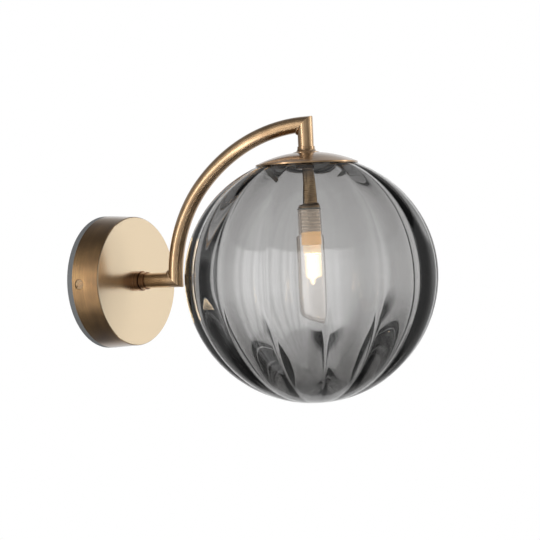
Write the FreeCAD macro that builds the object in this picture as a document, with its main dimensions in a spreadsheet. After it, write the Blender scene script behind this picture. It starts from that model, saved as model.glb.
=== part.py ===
import FreeCAD, Part
import math
import os
from types import SimpleNamespace

import Sketcher

# Globe wall sconce. The wall is the plane y = 0 and the light stands out of it towards -Y, with +Z up.
# The origin is the centre of the wall plate's back. "Out" is a distance from the wall, along -Y.
# Heights on the drop axis are counted from the globe's centre, which is the reference of all that hangs.

SIZES = {
    # wall plate
    "plate_floor": 2.5,
    "plate_rim_depth": 5.0,
    "plate_rim_width": 4.0,
    "slot_spacing": 60.0,
    "slot_width": 4.5,
    "slot_length": 9.0,
    "cable_hole_radius": 8.0,
    "lug_width": 14.0,
    "lug_thickness": 3.0,
    "lug_reach": 14.0,
    "lug_gap": 0.25,
    # canopy
    "canopy_back_radius": 55.4,
    "canopy_front_radius": 53.7,
    "canopy_drum_depth": 25.0,
    "canopy_side_wall": 1.5,
    "canopy_face_wall": 2.0,
    "canopy_bevel": 0.8,
    "side_screw_rise": 7.0,
    "side_screw_radius": 2.0,
    "side_screw_head_radius": 3.8,
    "side_screw_length": 9.0,
    "side_screw_sink": 0.35,
    "side_screw_turn": 35.0,
    "screw_clearance": 0.15,
    "driver_slot_width": 0.9,
    "driver_slot_depth": 0.9,
    # terminal block inside the canopy
    "block_length": 30.0,
    "block_depth": 15.0,
    "block_height": 16.0,
    "block_rise": 20.0,
    "pole_spacing": 10.0,
    "block_bore_radius": 1.9,
    "terminal_tube_radius": 1.85,
    "terminal_tube_bore": 1.2,
    "terminal_tube_inset": 1.0,
    "terminal_axis_depth": 6.0,
    "terminal_screw_radius": 1.6,
    "terminal_screw_length": 5.0,
    "terminal_screw_spacing": 8.0,
    "terminal_well_radius": 1.8,
    # threaded tube and its nut, washer and earth tag at the canopy's face
    "thread_radius": 4.95,
    "thread_fit": 0.05,
    "tube_bore_of_thread": 3.5,
    "arm_nipple_inside": 11.0,
    "arm_nipple_outside": 18.0,
    "hex_across_flats": 14.0,
    "locknut_height": 4.0,
    "washer_radius": 9.0,
    "washer_thickness": 1.0,
    "earth_tag_radius": 7.5,
    "earth_tag_thickness": 0.8,
    "earth_tongue_width": 5.0,
    "earth_tongue_top": 15.0,
    "earth_tongue_hole_height": 12.0,
    # turned collar on the canopy and the brass tubes
    "collar_radius": 8.3,
    "collar_length": 5.4,
    "collar_groove_radius": 6.9,
    "collar_groove_width": 0.6,
    "collar_step_radius": 7.35,
    "collar_step_length": 5.2,
    "tube_radius": 6.2,
    "tube_wall": 1.2,
    "tube_fit": 0.05,
    "arm_reach": 69.5,
    "arc_lower_radius": 109.7,
    "arc_upper_radius": 139.8,
    # drop tube, collar, dome cap; heights are over the globe's centre
    "drop_length": 17.5,
    "cap_collar_radius": 6.9,
    "cap_collar_height": 4.8,
    "cap_collar_foot_radius": 10.2,
    "cap_collar_foot_edge": 0.4,
    "cap_collar_seat_depth": 2.6,
    "dome_seat_radius": 10.6,
    "dome_outer_radius": 95.0,
    "dome_rim_radius": 40.25,
    "dome_wall": 1.0,
    "dome_rim_gap": 0.41,
    # gallery that holds the globe
    "cap_nut_height": 5.6,
    "gallery_radius": 28.5,
    "gallery_thickness": 1.5,
    "gallery_nut_height": 4.0,
    "spring_thickness": 0.6,
    "spring_width": 8.0,
    "spring_count": 3,
    "spring_foot_radius": 15.0,
    "spring_first_turn": 30.0,
    "spring_knee_width": 1.3,
    "spring_knee_drop": 0.8,
    "spring_bulge_radius": 33.2,
    "spring_bulge_drop": 6.0,
    "spring_return_width": 1.2,
    "spring_return_drop": 2.4,
    "spring_end_radius": 28.5,
    "spring_end_drop": 13.0,
    # globe
    "globe_radius": 100.0,
    "globe_upper_height": 95.4,
    "globe_lower_height": 99.6,
    "rib_count": 14,
    "rib_depth": 2.8,
    "rib_phase": 10.8,
    "globe_wall": 4.2,
    "globe_hole_radius": 32.0,
    "globe_blank_margin": 3.0,
    "globe_pole_button": 2.6,
    "gasket_width": 3.0,
    "gasket_inset": 0.5,
    "gasket_thickness": 1.0,
    "gasket_gap": 0.43,
    # stem and lampholder
    "stem_radius": 5.0,
    "stem_into_drop": 9.0,
    "holder_top": 56.8,
    "holder_cap_radius": 8.6,
    "holder_cap_height": 2.9,
    "holder_cap_round": 2.4,
    "seal_thickness": 1.2,
    "seal_gap": 0.2,
    "cover_seal_gap": 0.1,
    "seal_inner_radius": 8.3,
    "seal_outer_radius": 9.4,
    "sleeve_radius": 7.9,
    "sleeve_wall": 0.9,
    "sleeve_length": 18.9,
    "ceramic_fit": 0.05,
    "ceramic_foot_radius": 7.25,
    "ceramic_bottom": 24.6,
    "ceramic_cavity_radius": 5.8,
    "ceramic_floor": 45.0,
    "pin_spacing": 8.6,
    "socket_width": 2.6,
    "socket_breadth": 4.0,
    "contact_thickness": 0.5,
    "contact_breadth": 3.0,
    "contact_leg_length": 12.0,
    "contact_inset": 0.05,
    "contact_inner_end": 0.8,
    # clear screw-on tube over the bulb
    "cover_neck_radius": 8.9,
    "cover_thread_fit": 0.1,
    "cover_ridge_height": 0.6,
    "cover_ridge_count": 7,
    "cover_ridge_pitch": 2.7,
    "cover_radius": 11.2,
    "cover_wall": 1.4,
    "cover_shoulder": 2.4,
    "cover_bottom": -37.5,
    "cover_bottom_round": 8.0,
    # bulb
    "bulb_gap": 0.3,
    "base_length": 13.6,
    "base_breadth": 5.6,
    "base_height": 6.0,
    "pin_wire_radius": 0.5,
    "pin_loop_half": 1.1,
    "pin_loop_bend": 0.9,
    "pin_length": 10.0,
    "capsule_radius": 5.5,
    "capsule_wall": 0.9,
    "capsule_straight": 17.5,
    "capsule_taper": 4.5,
    "nib_radius": 2.2,
    "nib_length": 3.0,
    "filament_wire_radius": 0.3,
    "filament_half_width": 2.0,
    "filament_bend": 1.6,
    "filament_length": 13.0,
    # wiring
    "wire_radius": 1.1,
    "wire_offset": 1.5,
    "wire_corner_radius": 7.0,
    "wire_bend_radius": 5.5,
    "wire_in_terminal": 4.0,
    "wire_turn_out": 12.0,
    "wire_drop_height": 9.0,
}

OUTWARDS = FreeCAD.Rotation(FreeCAD.Vector(1, 0, 0), 90)  # local Z points out of the wall, local Y up
UPRIGHT = FreeCAD.Rotation()


class Size:
    """A value of the sheet, or one worked out from several, with the expression that binds it."""

    def __init__(self, value, text):
        self.value = float(value)
        self.text = text

    @staticmethod
    def of(other):
        return other if isinstance(other, Size) else Size(other, repr(float(other)))

    def joined(self, other, sign, value):
        return Size(value, f"({self.text} {sign} {other.text})")

    def __add__(self, other):
        other = Size.of(other)
        return self.joined(other, "+", self.value + other.value)

    def __sub__(self, other):
        other = Size.of(other)
        return self.joined(other, "-", self.value - other.value)

    def __mul__(self, other):
        other = Size.of(other)
        return self.joined(other, "*", self.value * other.value)

    def __truediv__(self, other):
        other = Size.of(other)
        return self.joined(other, "/", self.value / other.value)

    def __radd__(self, other):
        return Size.of(other) + self

    def __rsub__(self, other):
        return Size.of(other) - self

    def __rmul__(self, other):
        return Size.of(other) * self

    def __neg__(self):
        return Size.of(0) - self

    def root(self):
        return Size(math.sqrt(self.value), f"sqrt({self.text})")


doc = FreeCAD.newDocument("globe_wall_sconce")


def make_sheet():
    """Fill the spreadsheet and return its values by name."""
    sheet = doc.addObject("Spreadsheet::Sheet", "sizes")
    for row, (name, value) in enumerate(SIZES.items(), start=1):
        sheet.set(f"A{row}", name)
        sheet.set(f"B{row}", str(value))
        sheet.setAlias(f"B{row}", name)
    doc.recompute()
    return SimpleNamespace(**{name: Size(sheet.get(name), f"sizes.{name}") for name in SIZES})


s = make_sheet()


def leg(slope, side):
    """Third side of a right-angled triangle with this slope and this other side."""
    return (slope * slope - side * side).root()


def derive():
    """Work out the places that several pieces share."""
    half = math.sqrt(0.5)
    s.canopy_depth = s.plate_rim_depth + s.canopy_drum_depth
    s.canopy_inner_face = s.canopy_depth - s.canopy_face_wall
    s.side_screw_out = s.plate_rim_depth + s.side_screw_rise
    taper = (s.canopy_back_radius - s.canopy_front_radius) / (s.canopy_drum_depth - s.canopy_bevel)
    s.side_screw_seat = s.canopy_back_radius - taper * s.side_screw_rise
    lug_edge = s.canopy_back_radius - taper * (s.lug_reach + s.plate_floor) - s.canopy_side_wall
    s.lug_outer = (lug_edge * lug_edge - s.lug_width * s.lug_width / 4).root() - s.lug_gap
    s.thread_hole = s.thread_radius + s.thread_fit
    s.tube_bore = s.tube_radius - s.tube_wall
    s.collar_end = s.canopy_depth + s.collar_length + s.collar_step_length
    s.arm_tube_start = s.canopy_depth + s.collar_length
    s.arc_reach = s.arc_lower_radius * (1 - half) + s.arc_upper_radius * half
    s.arc_rise = s.arc_lower_radius * half + s.arc_upper_radius * (1 - half)
    s.drop_out = s.arm_reach + s.arc_reach
    rim_share = s.dome_rim_radius / s.globe_radius
    globe_at_rim = s.globe_upper_height * (1 - rim_share * rim_share).root()
    dome_inner = s.dome_outer_radius - s.dome_wall
    s.dome_centre = globe_at_rim + s.dome_rim_gap - leg(dome_inner, s.dome_rim_radius)
    s.dome_seat_height = s.dome_centre + leg(s.dome_outer_radius, s.dome_seat_radius)
    s.gasket_outer = s.globe_hole_radius + s.gasket_inset + s.gasket_width
    lip_room = s.gasket_thickness + s.gasket_gap
    s.globe_lip_height = s.dome_centre + leg(dome_inner, s.gasket_outer) - lip_room
    s.dome_underside = s.dome_seat_height - s.dome_wall
    s.gallery_top = s.dome_underside - s.cap_nut_height
    s.gallery_underside = s.gallery_top - s.gallery_thickness
    cap_collar_top = s.dome_seat_height + s.cap_collar_height
    s.drop_tube_end = cap_collar_top - s.cap_collar_seat_depth
    s.globe_centre_height = s.arc_rise - s.drop_length - cap_collar_top
    s.holder_seat = s.holder_top - s.holder_cap_height
    s.seal_bottom = s.holder_seat - s.seal_gap - s.seal_thickness
    s.cover_top = s.seal_bottom - s.cover_seal_gap
    s.cover_bore = s.sleeve_radius + s.cover_thread_fit
    s.sleeve_end = s.holder_seat - s.sleeve_length
    s.base_top = s.ceramic_bottom - s.bulb_gap
    s.capsule_top = s.base_top - s.base_height
    s.block_axis_out = s.plate_floor + s.terminal_axis_depth
    s.tag_out = s.canopy_inner_face - s.washer_thickness - s.earth_tag_thickness


derive()


def place_on_wall(piece, out=0.0, across=0.0, up=0.0):
    """Turn a piece so that its Z points out of the wall, and bind its place."""
    bind_place(piece, OUTWARDS, Size.of(across), -Size.of(out), Size.of(up))


def place_on_drop(piece, height=0.0, across=0.0):
    """Stand a piece on the drop axis at a height over the globe's centre, and bind its place."""
    bind_place(piece, UPRIGHT, Size.of(across), -s.drop_out, s.globe_centre_height + height)


def bind_place(piece, turn, x, y, z):
    piece.Placement = FreeCAD.Placement(FreeCAD.Vector(x.value, y.value, z.value), turn)
    for axis, size in zip("xyz", (x, y, z)):
        piece.setExpression(f".Placement.Base.{axis}", size.text)


def new_body(label):
    body = doc.addObject("PartDesign::Body", label)
    body.Label = label
    return body


def new_sketch(body, role, name, lift=None):
    """A sketch on one of the body's own origin planes, lifted along its normal if asked."""
    sketch = body.newObject("Sketcher::SketchObject", name)
    plane = [feature for feature in body.Origin.OriginFeatures if feature.Role == role][0]
    sketch.AttachmentSupport = [(plane, "")]
    sketch.MapMode = "FlatFace"
    if lift is not None:
        sketch.setExpression("AttachmentOffset.Base.z", Size.of(lift).text)
        doc.recompute()
    return sketch


def hold(sketch, kind, size, *where):
    """Add a dimension to a sketch and bind it to the sheet."""
    index = sketch.addConstraint(Sketcher.Constraint(kind, *where, size.value))
    name = f"d{index}"
    sketch.renameConstraint(index, name)
    sketch.setExpression(f"Constraints.{name}", size.text)


def draw_circle(sketch, radius, x=0.0, y=0.0):
    radius, x, y = Size.of(radius), Size.of(x), Size.of(y)
    circle = Part.Circle(FreeCAD.Vector(x.value, y.value, 0), FreeCAD.Vector(0, 0, 1), radius.value)
    index = sketch.addGeometry(circle, False)
    hold(sketch, "DistanceX", x, -1, 1, index, 3)
    hold(sketch, "DistanceY", y, -1, 1, index, 3)
    hold(sketch, "Radius", radius, index)


def arc_between(start, end, radius, centre_left):
    """The arc of a circle from start to end, with its centre to the left or right of the way there."""
    chord = end - start
    middle = (start + end) * 0.5
    side = FreeCAD.Vector(-chord.y, chord.x, 0).normalize() * (1 if centre_left else -1)
    centre = middle + side * math.sqrt(radius**2 - (chord.Length / 2) ** 2)
    first, last = (start, end) if centre_left else (end, start)
    angles = [math.atan2(point.y - centre.y, point.x - centre.x) for point in (first, last)]
    circle = Part.Circle(centre, FreeCAD.Vector(0, 0, 1), radius)
    return Part.ArcOfCircle(circle, angles[0], angles[1])


def draw_outline(sketch, corners, arcs=None, closed=True):
    """Draw lines through the corners; arcs gives, per corner, the radius and side of an arc leaving it."""
    corners = [(Size.of(x), Size.of(y)) for x, y in corners]
    points = [FreeCAD.Vector(x.value, y.value, 0) for x, y in corners]
    count = len(points) if closed else len(points) - 1
    ends = []
    for i in range(count):
        start, end = points[i], points[(i + 1) % len(points)]
        if arcs and i in arcs:
            radius, centre_left = arcs[i]
            index = sketch.addGeometry(arc_between(start, end, radius.value, centre_left), False)
            ends.append((index, 1, 2) if centre_left else (index, 2, 1))
        else:
            ends.append((sketch.addGeometry(Part.LineSegment(start, end), False), 1, 2))
    for i, (index, first, last) in enumerate(ends):
        following = ends[(i + 1) % count]
        if closed or i + 1 < count:
            sketch.addConstraint(
                Sketcher.Constraint("Coincident", index, last, following[0], following[1])
            )
        hold(sketch, "DistanceX", corners[i][0], -1, 1, index, first)
        hold(sketch, "DistanceY", corners[i][1], -1, 1, index, first)
        if arcs and i in arcs:
            hold(sketch, "Radius", arcs[i][0], index)
    if not closed:
        index, first, last = ends[-1]
        hold(sketch, "DistanceX", corners[-1][0], -1, 1, index, last)
        hold(sketch, "DistanceY", corners[-1][1], -1, 1, index, last)


def draw_rectangle(sketch, width, height, x=0.0, y=0.0):
    """A rectangle centred on x, y."""
    half_width, half_height = Size.of(width) / 2, Size.of(height) / 2
    x, y = Size.of(x), Size.of(y)
    draw_outline(
        sketch,
        [
            (x - half_width, y - half_height),
            (x + half_width, y - half_height),
            (x + half_width, y + half_height),
            (x - half_width, y + half_height),
        ],
    )


def lathe(label, corners, arcs=None):
    """A turned piece: an outline of radius and height, revolved about the body's Z."""
    body = new_body(label)
    sketch = new_sketch(body, "XZ_Plane", f"{label}_profile")
    draw_outline(sketch, corners, arcs)
    turned = body.newObject("PartDesign::Revolution", f"{label}_turned")
    turned.Profile = sketch
    turned.ReferenceAxis = (sketch, ["V_Axis"])
    turned.Angle = 360
    return body


def ring(label, outer, inner, height):
    """A washer-like turned piece standing on z = 0."""
    return lathe(label, [(inner, 0), (outer, 0), (outer, height), (inner, height)])


def add_pad(body, sketch, length, name):
    pad = body.newObject("PartDesign::Pad", name)
    pad.Profile = sketch
    pad.setExpression("Length", Size.of(length).text)
    return pad


def add_pocket(body, sketch, name, depth=None, midplane=False, reverse=False):
    pocket = body.newObject("PartDesign::Pocket", name)
    pocket.Profile = sketch
    pocket.Reversed = reverse
    pocket.Midplane = midplane
    if depth is None:
        pocket.Type = "ThroughAll"
    else:
        pocket.setExpression("Length", Size.of(depth).text)
    return pocket


def hex_nut(label, height):
    """A hexagon nut with a round thread hole, standing on z = 0."""
    prism = doc.addObject("Part::Prism", f"{label}_blank")
    prism.Polygon = 6
    prism.setExpression("Circumradius", (s.hex_across_flats / math.sqrt(3)).text)
    prism.setExpression("Height", height.text)
    bore = doc.addObject("Part::Cylinder", f"{label}_bore")
    bore.setExpression("Radius", s.thread_hole.text)
    bore.setExpression("Height", height.text)
    return cut(label, prism, bore)


def cut(label, base, tool):
    piece = doc.addObject("Part::Cut", label)
    piece.Label = label
    piece.Base = base
    piece.Tool = tool
    return piece


def fuse(label, shapes):
    piece = doc.addObject("Part::MultiFuse", label)
    piece.Shapes = shapes
    return piece


def feature(label, shape):
    """A piece whose shape is worked out from the sheet's values."""
    piece = doc.addObject("Part::Feature", label)
    piece.Label = label
    piece.Shape = shape
    return piece


def out_point(across, out, up):
    """A point of the row's frame from Sizes or numbers: across, out of the wall and up."""
    across, out, up = (Size.of(value).value for value in (across, out, up))
    return FreeCAD.Vector(across, -out, up)


def rounded_path(points, radii):
    """Straight runs joined by tangent arcs, one radius for each inner point."""
    edges = []
    start = points[0]
    for before, corner, after, radius in zip(points, points[1:], points[2:], radii):
        inwards = (before - corner).normalize()
        onwards = (after - corner).normalize()
        half_angle = inwards.getAngle(onwards) / 2
        setback = radius / math.tan(half_angle)
        centre = corner + (inwards + onwards).normalize() * (radius / math.sin(half_angle))
        first, last = corner + inwards * setback, corner + onwards * setback
        middle = centre + (corner - centre).normalize() * radius
        edges.append(Part.LineSegment(start, first).toShape())
        edges.append(Part.Arc(first, middle, last).toShape())
        start = last
    edges.append(Part.LineSegment(start, points[-1]).toShape())
    return edges


def tube_along(label, edges, radius):
    """A round solid along a path, its volume compared with its section times its length."""
    path = Part.Wire(edges)
    start = edges[0].valueAt(edges[0].FirstParameter)
    heading = edges[0].tangentAt(edges[0].FirstParameter)
    section = Part.Wire([Part.Circle(start, heading, radius).toShape()])
    solid = path.makePipeShell([section], True, False)
    expected = math.pi * radius**2 * path.Length
    if abs(solid.Volume / expected - 1) > 0.01:
        raise ValueError(f"{label}: volume {solid.Volume:.1f}, expected {expected:.1f}")
    return solid


# Wall plate


def make_wall_plate():
    """Moulded plate: floor, raised rim that the canopy seats on, two lugs, two slots and a cable hole."""
    body = new_body("wall_plate")
    floor = new_sketch(body, "XY_Plane", "plate_floor_outline")
    draw_circle(floor, s.canopy_back_radius)
    add_pad(body, floor, s.plate_floor, "plate_floor_pad")
    rim = new_sketch(body, "XY_Plane", "plate_rim_outline")
    draw_circle(rim, s.canopy_back_radius)
    draw_circle(rim, s.canopy_back_radius - s.plate_rim_width)
    add_pad(body, rim, s.plate_rim_depth, "plate_rim_pad")
    lugs = new_sketch(body, "XY_Plane", "plate_lugs_outline")
    for side in (-1, 1):
        draw_rectangle(lugs, s.lug_thickness, s.lug_width, side * (s.lug_outer - s.lug_thickness / 2))
    add_pad(body, lugs, s.plate_floor + s.lug_reach, "plate_lugs_pad")
    lug_hole = new_sketch(body, "YZ_Plane", "lug_hole_outline")
    draw_circle(lug_hole, s.side_screw_radius + s.thread_fit, 0, s.side_screw_out)
    add_pocket(body, lug_hole, "lug_hole", midplane=True)
    cut_plate_openings(body)
    place_on_wall(body)
    return body


def cut_plate_openings(body):
    """Two slots along X for the wall screws, and the cable hole between them."""
    radius = s.slot_width / 2
    run = s.slot_length - s.slot_width
    openings = new_sketch(body, "XY_Plane", "plate_openings")
    draw_circle(openings, s.cable_hole_radius)
    for side in (-1, 1):
        draw_rectangle(openings, run, s.slot_width, side * s.slot_spacing / 2)
    add_pocket(body, openings, "slot_middles", reverse=True)
    for end in (-1, 1):
        rounds = new_sketch(body, "XY_Plane", f"slot_rounds_{'left' if end < 0 else 'right'}")
        for side in (-1, 1):
            draw_circle(rounds, radius, side * s.slot_spacing / 2 + end * run / 2)
        add_pocket(body, rounds, f"slot_end_{'left' if end < 0 else 'right'}", reverse=True)


# Canopy


def make_canopy():
    """Spun brass cup with a slight draft, a hole for the threaded tube and two countersunk side holes."""
    shell = lathe(
        "canopy_shell",
        [
            (s.canopy_back_radius, s.plate_rim_depth),
            (s.canopy_front_radius, s.canopy_depth - s.canopy_bevel),
            (s.canopy_front_radius - s.canopy_bevel, s.canopy_depth),
            (s.thread_hole, s.canopy_depth),
            (s.thread_hole, s.canopy_inner_face),
            (s.canopy_front_radius - s.canopy_side_wall, s.canopy_inner_face),
            (s.canopy_back_radius - s.canopy_side_wall, s.plate_rim_depth),
        ],
    )
    tools = []
    for side, name in ((1, "right"), (-1, "left")):
        sink = doc.addObject("Part::Cone", f"countersink_{name}")
        sink.setExpression("Radius1", (s.side_screw_radius + s.screw_clearance).text)
        grown = s.side_screw_head_radius + s.screw_clearance + s.side_screw_sink
        sink.setExpression("Radius2", grown.text)
        sink.setExpression("Height", (grown - s.side_screw_radius - s.screw_clearance).text)
        start = s.side_screw_seat - (grown - s.side_screw_radius - s.screw_clearance)
        point_sideways(sink, side, start)
        drill = doc.addObject("Part::Cylinder", f"side_hole_{name}")
        drill.setExpression("Radius", (s.side_screw_radius + s.screw_clearance).text)
        drill.setExpression("Height", s.side_screw_length.text)
        point_sideways(drill, side, s.side_screw_seat - s.side_screw_length / 2)
        spot = doc.addObject("Part::Cylinder", f"spot_face_{name}")
        spot.setExpression("Radius", grown.text)
        spot.setExpression("Height", s.canopy_side_wall.text)
        point_sideways(spot, side, s.side_screw_seat)
        tools += [sink, drill, spot]
    canopy = cut("canopy", shell, fuse("side_holes", tools))
    place_on_wall(canopy)
    return canopy


def point_sideways(tool, side, start):
    """Lay a tool along the side screw's axis, in the canopy's own frame, from a distance off its axis."""
    turn = FreeCAD.Rotation(FreeCAD.Vector(0, 1, 0), 90 * side)
    tool.Placement = FreeCAD.Placement(
        FreeCAD.Vector(side * start.value, 0, s.side_screw_out.value), turn
    )
    tool.setExpression(".Placement.Base.x", (side * start).text)
    tool.setExpression(".Placement.Base.z", s.side_screw_out.text)


def make_side_screws():
    """Two countersunk, slotted screws that hold the canopy on the plate's lugs."""
    head_height = s.side_screw_head_radius - s.side_screw_radius
    screw = lathe(
        "side_screw",
        [
            (0, 0),
            (s.side_screw_radius, 0),
            (s.side_screw_radius, s.side_screw_length - head_height),
            (s.side_screw_head_radius, s.side_screw_length),
            (0, s.side_screw_length),
        ],
    )
    slot = new_sketch(screw, "XZ_Plane", "driver_slot")
    draw_rectangle(
        slot, s.driver_slot_width, s.driver_slot_depth * 2, 0, s.side_screw_length
    )
    add_pocket(screw, slot, "driver_slot_cut", midplane=True)
    doc.recompute()
    start = s.side_screw_seat - s.side_screw_sink - s.side_screw_length
    screws = []
    for side in (-1, 1):
        copy = screw.Shape.copy()
        turn = FreeCAD.Rotation(FreeCAD.Vector(0, 1, 0), 90 * side)
        tilt = FreeCAD.Rotation(FreeCAD.Vector(0, 0, 1), s.side_screw_turn.value)
        copy.Placement = FreeCAD.Placement(out_point(side * start, s.side_screw_out, 0), turn * tilt)
        screws.append(copy)
    return feature("canopy_screws", Part.makeCompound(screws))


# Terminal block and earth tag


def make_terminal_block():
    """Three-pole block: a bore along Z per pole, and two screw wells per pole from the front."""
    block = doc.addObject("Part::Box", "block_blank")
    block.setExpression("Length", s.block_length.text)
    block.setExpression("Width", s.block_height.text)
    block.setExpression("Height", s.block_depth.text)
    bind_place(block, UPRIGHT, -s.block_length / 2, s.block_rise, s.plate_floor)
    tools = []
    for pole in (-1, 0, 1):
        bore = doc.addObject("Part::Cylinder", f"pole_bore_{pole + 1}")
        bore.setExpression("Radius", s.block_bore_radius.text)
        bore.setExpression("Height", s.block_height.text)
        turn = FreeCAD.Rotation(FreeCAD.Vector(1, 0, 0), -90)
        bind_place(bore, turn, pole * s.pole_spacing, s.block_rise, s.block_axis_out)
        tools.append(bore)
        for row in (-1, 1):
            well = doc.addObject("Part::Cylinder", f"screw_well_{pole + 1}_{row + 1}")
            well.setExpression("Radius", s.terminal_well_radius.text)
            well.setExpression("Height", s.block_depth.text)
            bind_place(
                well,
                UPRIGHT,
                pole * s.pole_spacing,
                s.block_rise + s.block_height / 2 + row * s.terminal_screw_spacing / 2,
                s.block_axis_out,
            )
            tools.append(well)
    piece = cut("terminal_block", block, fuse("block_holes", tools))
    place_on_wall(piece)
    return piece


def make_terminal_tubes():
    """A brass tube in each pole's bore."""
    tubes = []
    length = s.block_height.value - 2 * s.terminal_tube_inset.value
    for pole in (-1, 0, 1):
        base = out_point(
            pole * s.pole_spacing, s.block_axis_out, s.block_rise + s.terminal_tube_inset
        )
        upwards = FreeCAD.Vector(0, 0, 1)
        outer = Part.makeCylinder(s.terminal_tube_radius.value, length, base, upwards)
        inner = Part.makeCylinder(s.terminal_tube_bore.value, length, base, upwards)
        tubes.append(outer.cut(inner))
    return feature("terminal_tubes", Part.makeCompound(tubes))


def make_terminal_screws():
    """Six slotted clamp screws standing on the tubes."""
    screws = []
    outwards = FreeCAD.Vector(0, -1, 0)
    seat = s.block_axis_out + s.terminal_tube_radius
    width, depth = s.driver_slot_width.value, s.driver_slot_depth.value
    radius, length = s.terminal_screw_radius.value, s.terminal_screw_length.value
    for pole in (-1, 0, 1):
        for row in (-1, 1):
            up = s.block_rise + s.block_height / 2 + row * s.terminal_screw_spacing / 2
            base = out_point(pole * s.pole_spacing, seat, up)
            screw = Part.makeCylinder(radius, length, base, outwards)
            slot = Part.makeBox(
                2 * radius, depth, width, base + FreeCAD.Vector(-radius, -length, -width / 2)
            )
            screws.append(screw.cut(slot))
    return feature("terminal_screws", Part.makeCompound(screws))


def make_earth_tag():
    """Ring tag on the threaded tube with a tongue for the earth wire."""
    body = new_body("earth_tag")
    outline = new_sketch(body, "XY_Plane", "tag_outline")
    draw_circle(outline, s.earth_tag_radius)
    add_pad(body, outline, s.earth_tag_thickness, "tag_ring")
    tongue = new_sketch(body, "XY_Plane", "tongue_outline")
    draw_rectangle(tongue, s.earth_tongue_width, s.earth_tongue_top, 0, s.earth_tongue_top / 2)
    add_pad(body, tongue, s.earth_tag_thickness, "tag_tongue")
    hole = new_sketch(body, "XY_Plane", "tag_hole")
    draw_circle(hole, s.thread_hole)
    add_pocket(body, hole, "tag_hole_cut", reverse=True)
    place_on_wall(body, s.tag_out)
    return body


# Arm, arc and drop tubes


def make_arm_hardware():
    """Threaded tube through the canopy's face, with its washer and locknut inside."""
    nipple = ring(
        "arm_nipple",
        s.thread_radius,
        s.tube_bore_of_thread,
        s.arm_nipple_inside + s.arm_nipple_outside,
    )
    place_on_wall(nipple, s.canopy_depth - s.arm_nipple_inside)
    washer = ring("arm_washer", s.washer_radius, s.thread_hole, s.washer_thickness)
    place_on_wall(washer, s.canopy_inner_face - s.washer_thickness)
    nut = hex_nut("arm_locknut", s.locknut_height)
    place_on_wall(nut, s.tag_out - s.locknut_height)
    return [nipple, washer, nut]


def make_arm_collar():
    """Turned two-step collar: a wide ring, a groove, and a narrower ring that the arm tube enters."""
    groove_end = s.collar_length + s.collar_groove_width
    collar = lathe(
        "arm_collar",
        [
            (s.thread_hole, 0),
            (s.collar_radius, 0),
            (s.collar_radius, s.collar_length),
            (s.collar_groove_radius, s.collar_length),
            (s.collar_groove_radius, groove_end),
            (s.collar_step_radius, groove_end),
            (s.collar_step_radius, s.collar_length + s.collar_step_length),
            (s.tube_radius + s.tube_fit, s.collar_length + s.collar_step_length),
            (s.tube_radius + s.tube_fit, s.collar_length),
            (s.thread_hole, s.collar_length),
        ],
    )
    place_on_wall(collar, s.canopy_depth)
    return collar


def make_arm_tube():
    """Straight tube out of the wall, its end mitred at 45 degrees."""
    length = s.arm_reach - s.arm_tube_start
    body = new_body("arm_tube")
    section = new_sketch(body, "XY_Plane", "arm_section")
    draw_circle(section, s.tube_radius)
    draw_circle(section, s.tube_bore)
    add_pad(body, section, length + 2 * s.tube_radius, "arm_blank")
    mitre = new_sketch(body, "YZ_Plane", "arm_mitre")
    reach = 2 * s.tube_radius
    draw_outline(
        mitre,
        [
            (-reach, length + reach),
            (reach, length - reach),
            (reach, length + 2 * reach),
            (-reach, length + 2 * reach),
        ],
    )
    add_pocket(body, mitre, "arm_mitre_cut", midplane=True)
    place_on_wall(body, s.arm_tube_start)
    return body


def make_arc_tube():
    """Tube bent through a quarter turn in two tangent arcs, mitred at both ends."""
    half = math.sqrt(0.5)
    body = new_body("arc_tube")
    spine = new_sketch(body, "YZ_Plane", "arc_line")
    tail = 2 * s.tube_radius
    turn_out = s.arc_lower_radius * (1 - half)
    turn_up = s.arc_lower_radius * half
    draw_outline(
        spine,
        [
            (0, -tail),
            (0, 0),
            (-turn_out, turn_up),
            (-s.arc_reach, s.arc_rise),
            (-s.arc_reach - tail, s.arc_rise),
        ],
        arcs={1: (s.arc_lower_radius, True), 2: (s.arc_upper_radius, True)},
        closed=False,
    )
    section = new_sketch(body, "XY_Plane", "arc_section", -tail)
    draw_circle(section, s.tube_radius)
    draw_circle(section, s.tube_bore)
    pipe = body.newObject("PartDesign::AdditivePipe", "arc_blank")
    pipe.Profile = section
    pipe.Spine = (spine, [f"Edge{i + 1}" for i in range(4)])
    lower = new_sketch(body, "YZ_Plane", "lower_mitre")
    draw_outline(lower, [(-tail, -tail), (tail, tail), (tail, -2 * tail), (-tail, -2 * tail)])
    add_pocket(body, lower, "lower_mitre_cut", midplane=True)
    upper = new_sketch(body, "YZ_Plane", "upper_mitre")
    end_out, end_up = -s.arc_reach, s.arc_rise
    draw_outline(
        upper,
        [
            (end_out - tail, end_up + tail),
            (end_out - 2 * tail, end_up + tail),
            (end_out - 2 * tail, end_up - tail),
            (end_out + tail, end_up - tail),
        ],
    )
    add_pocket(body, upper, "upper_mitre_cut", midplane=True)
    bind_place(body, UPRIGHT, Size.of(0), -s.arm_reach, Size.of(0))
    return body


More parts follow.
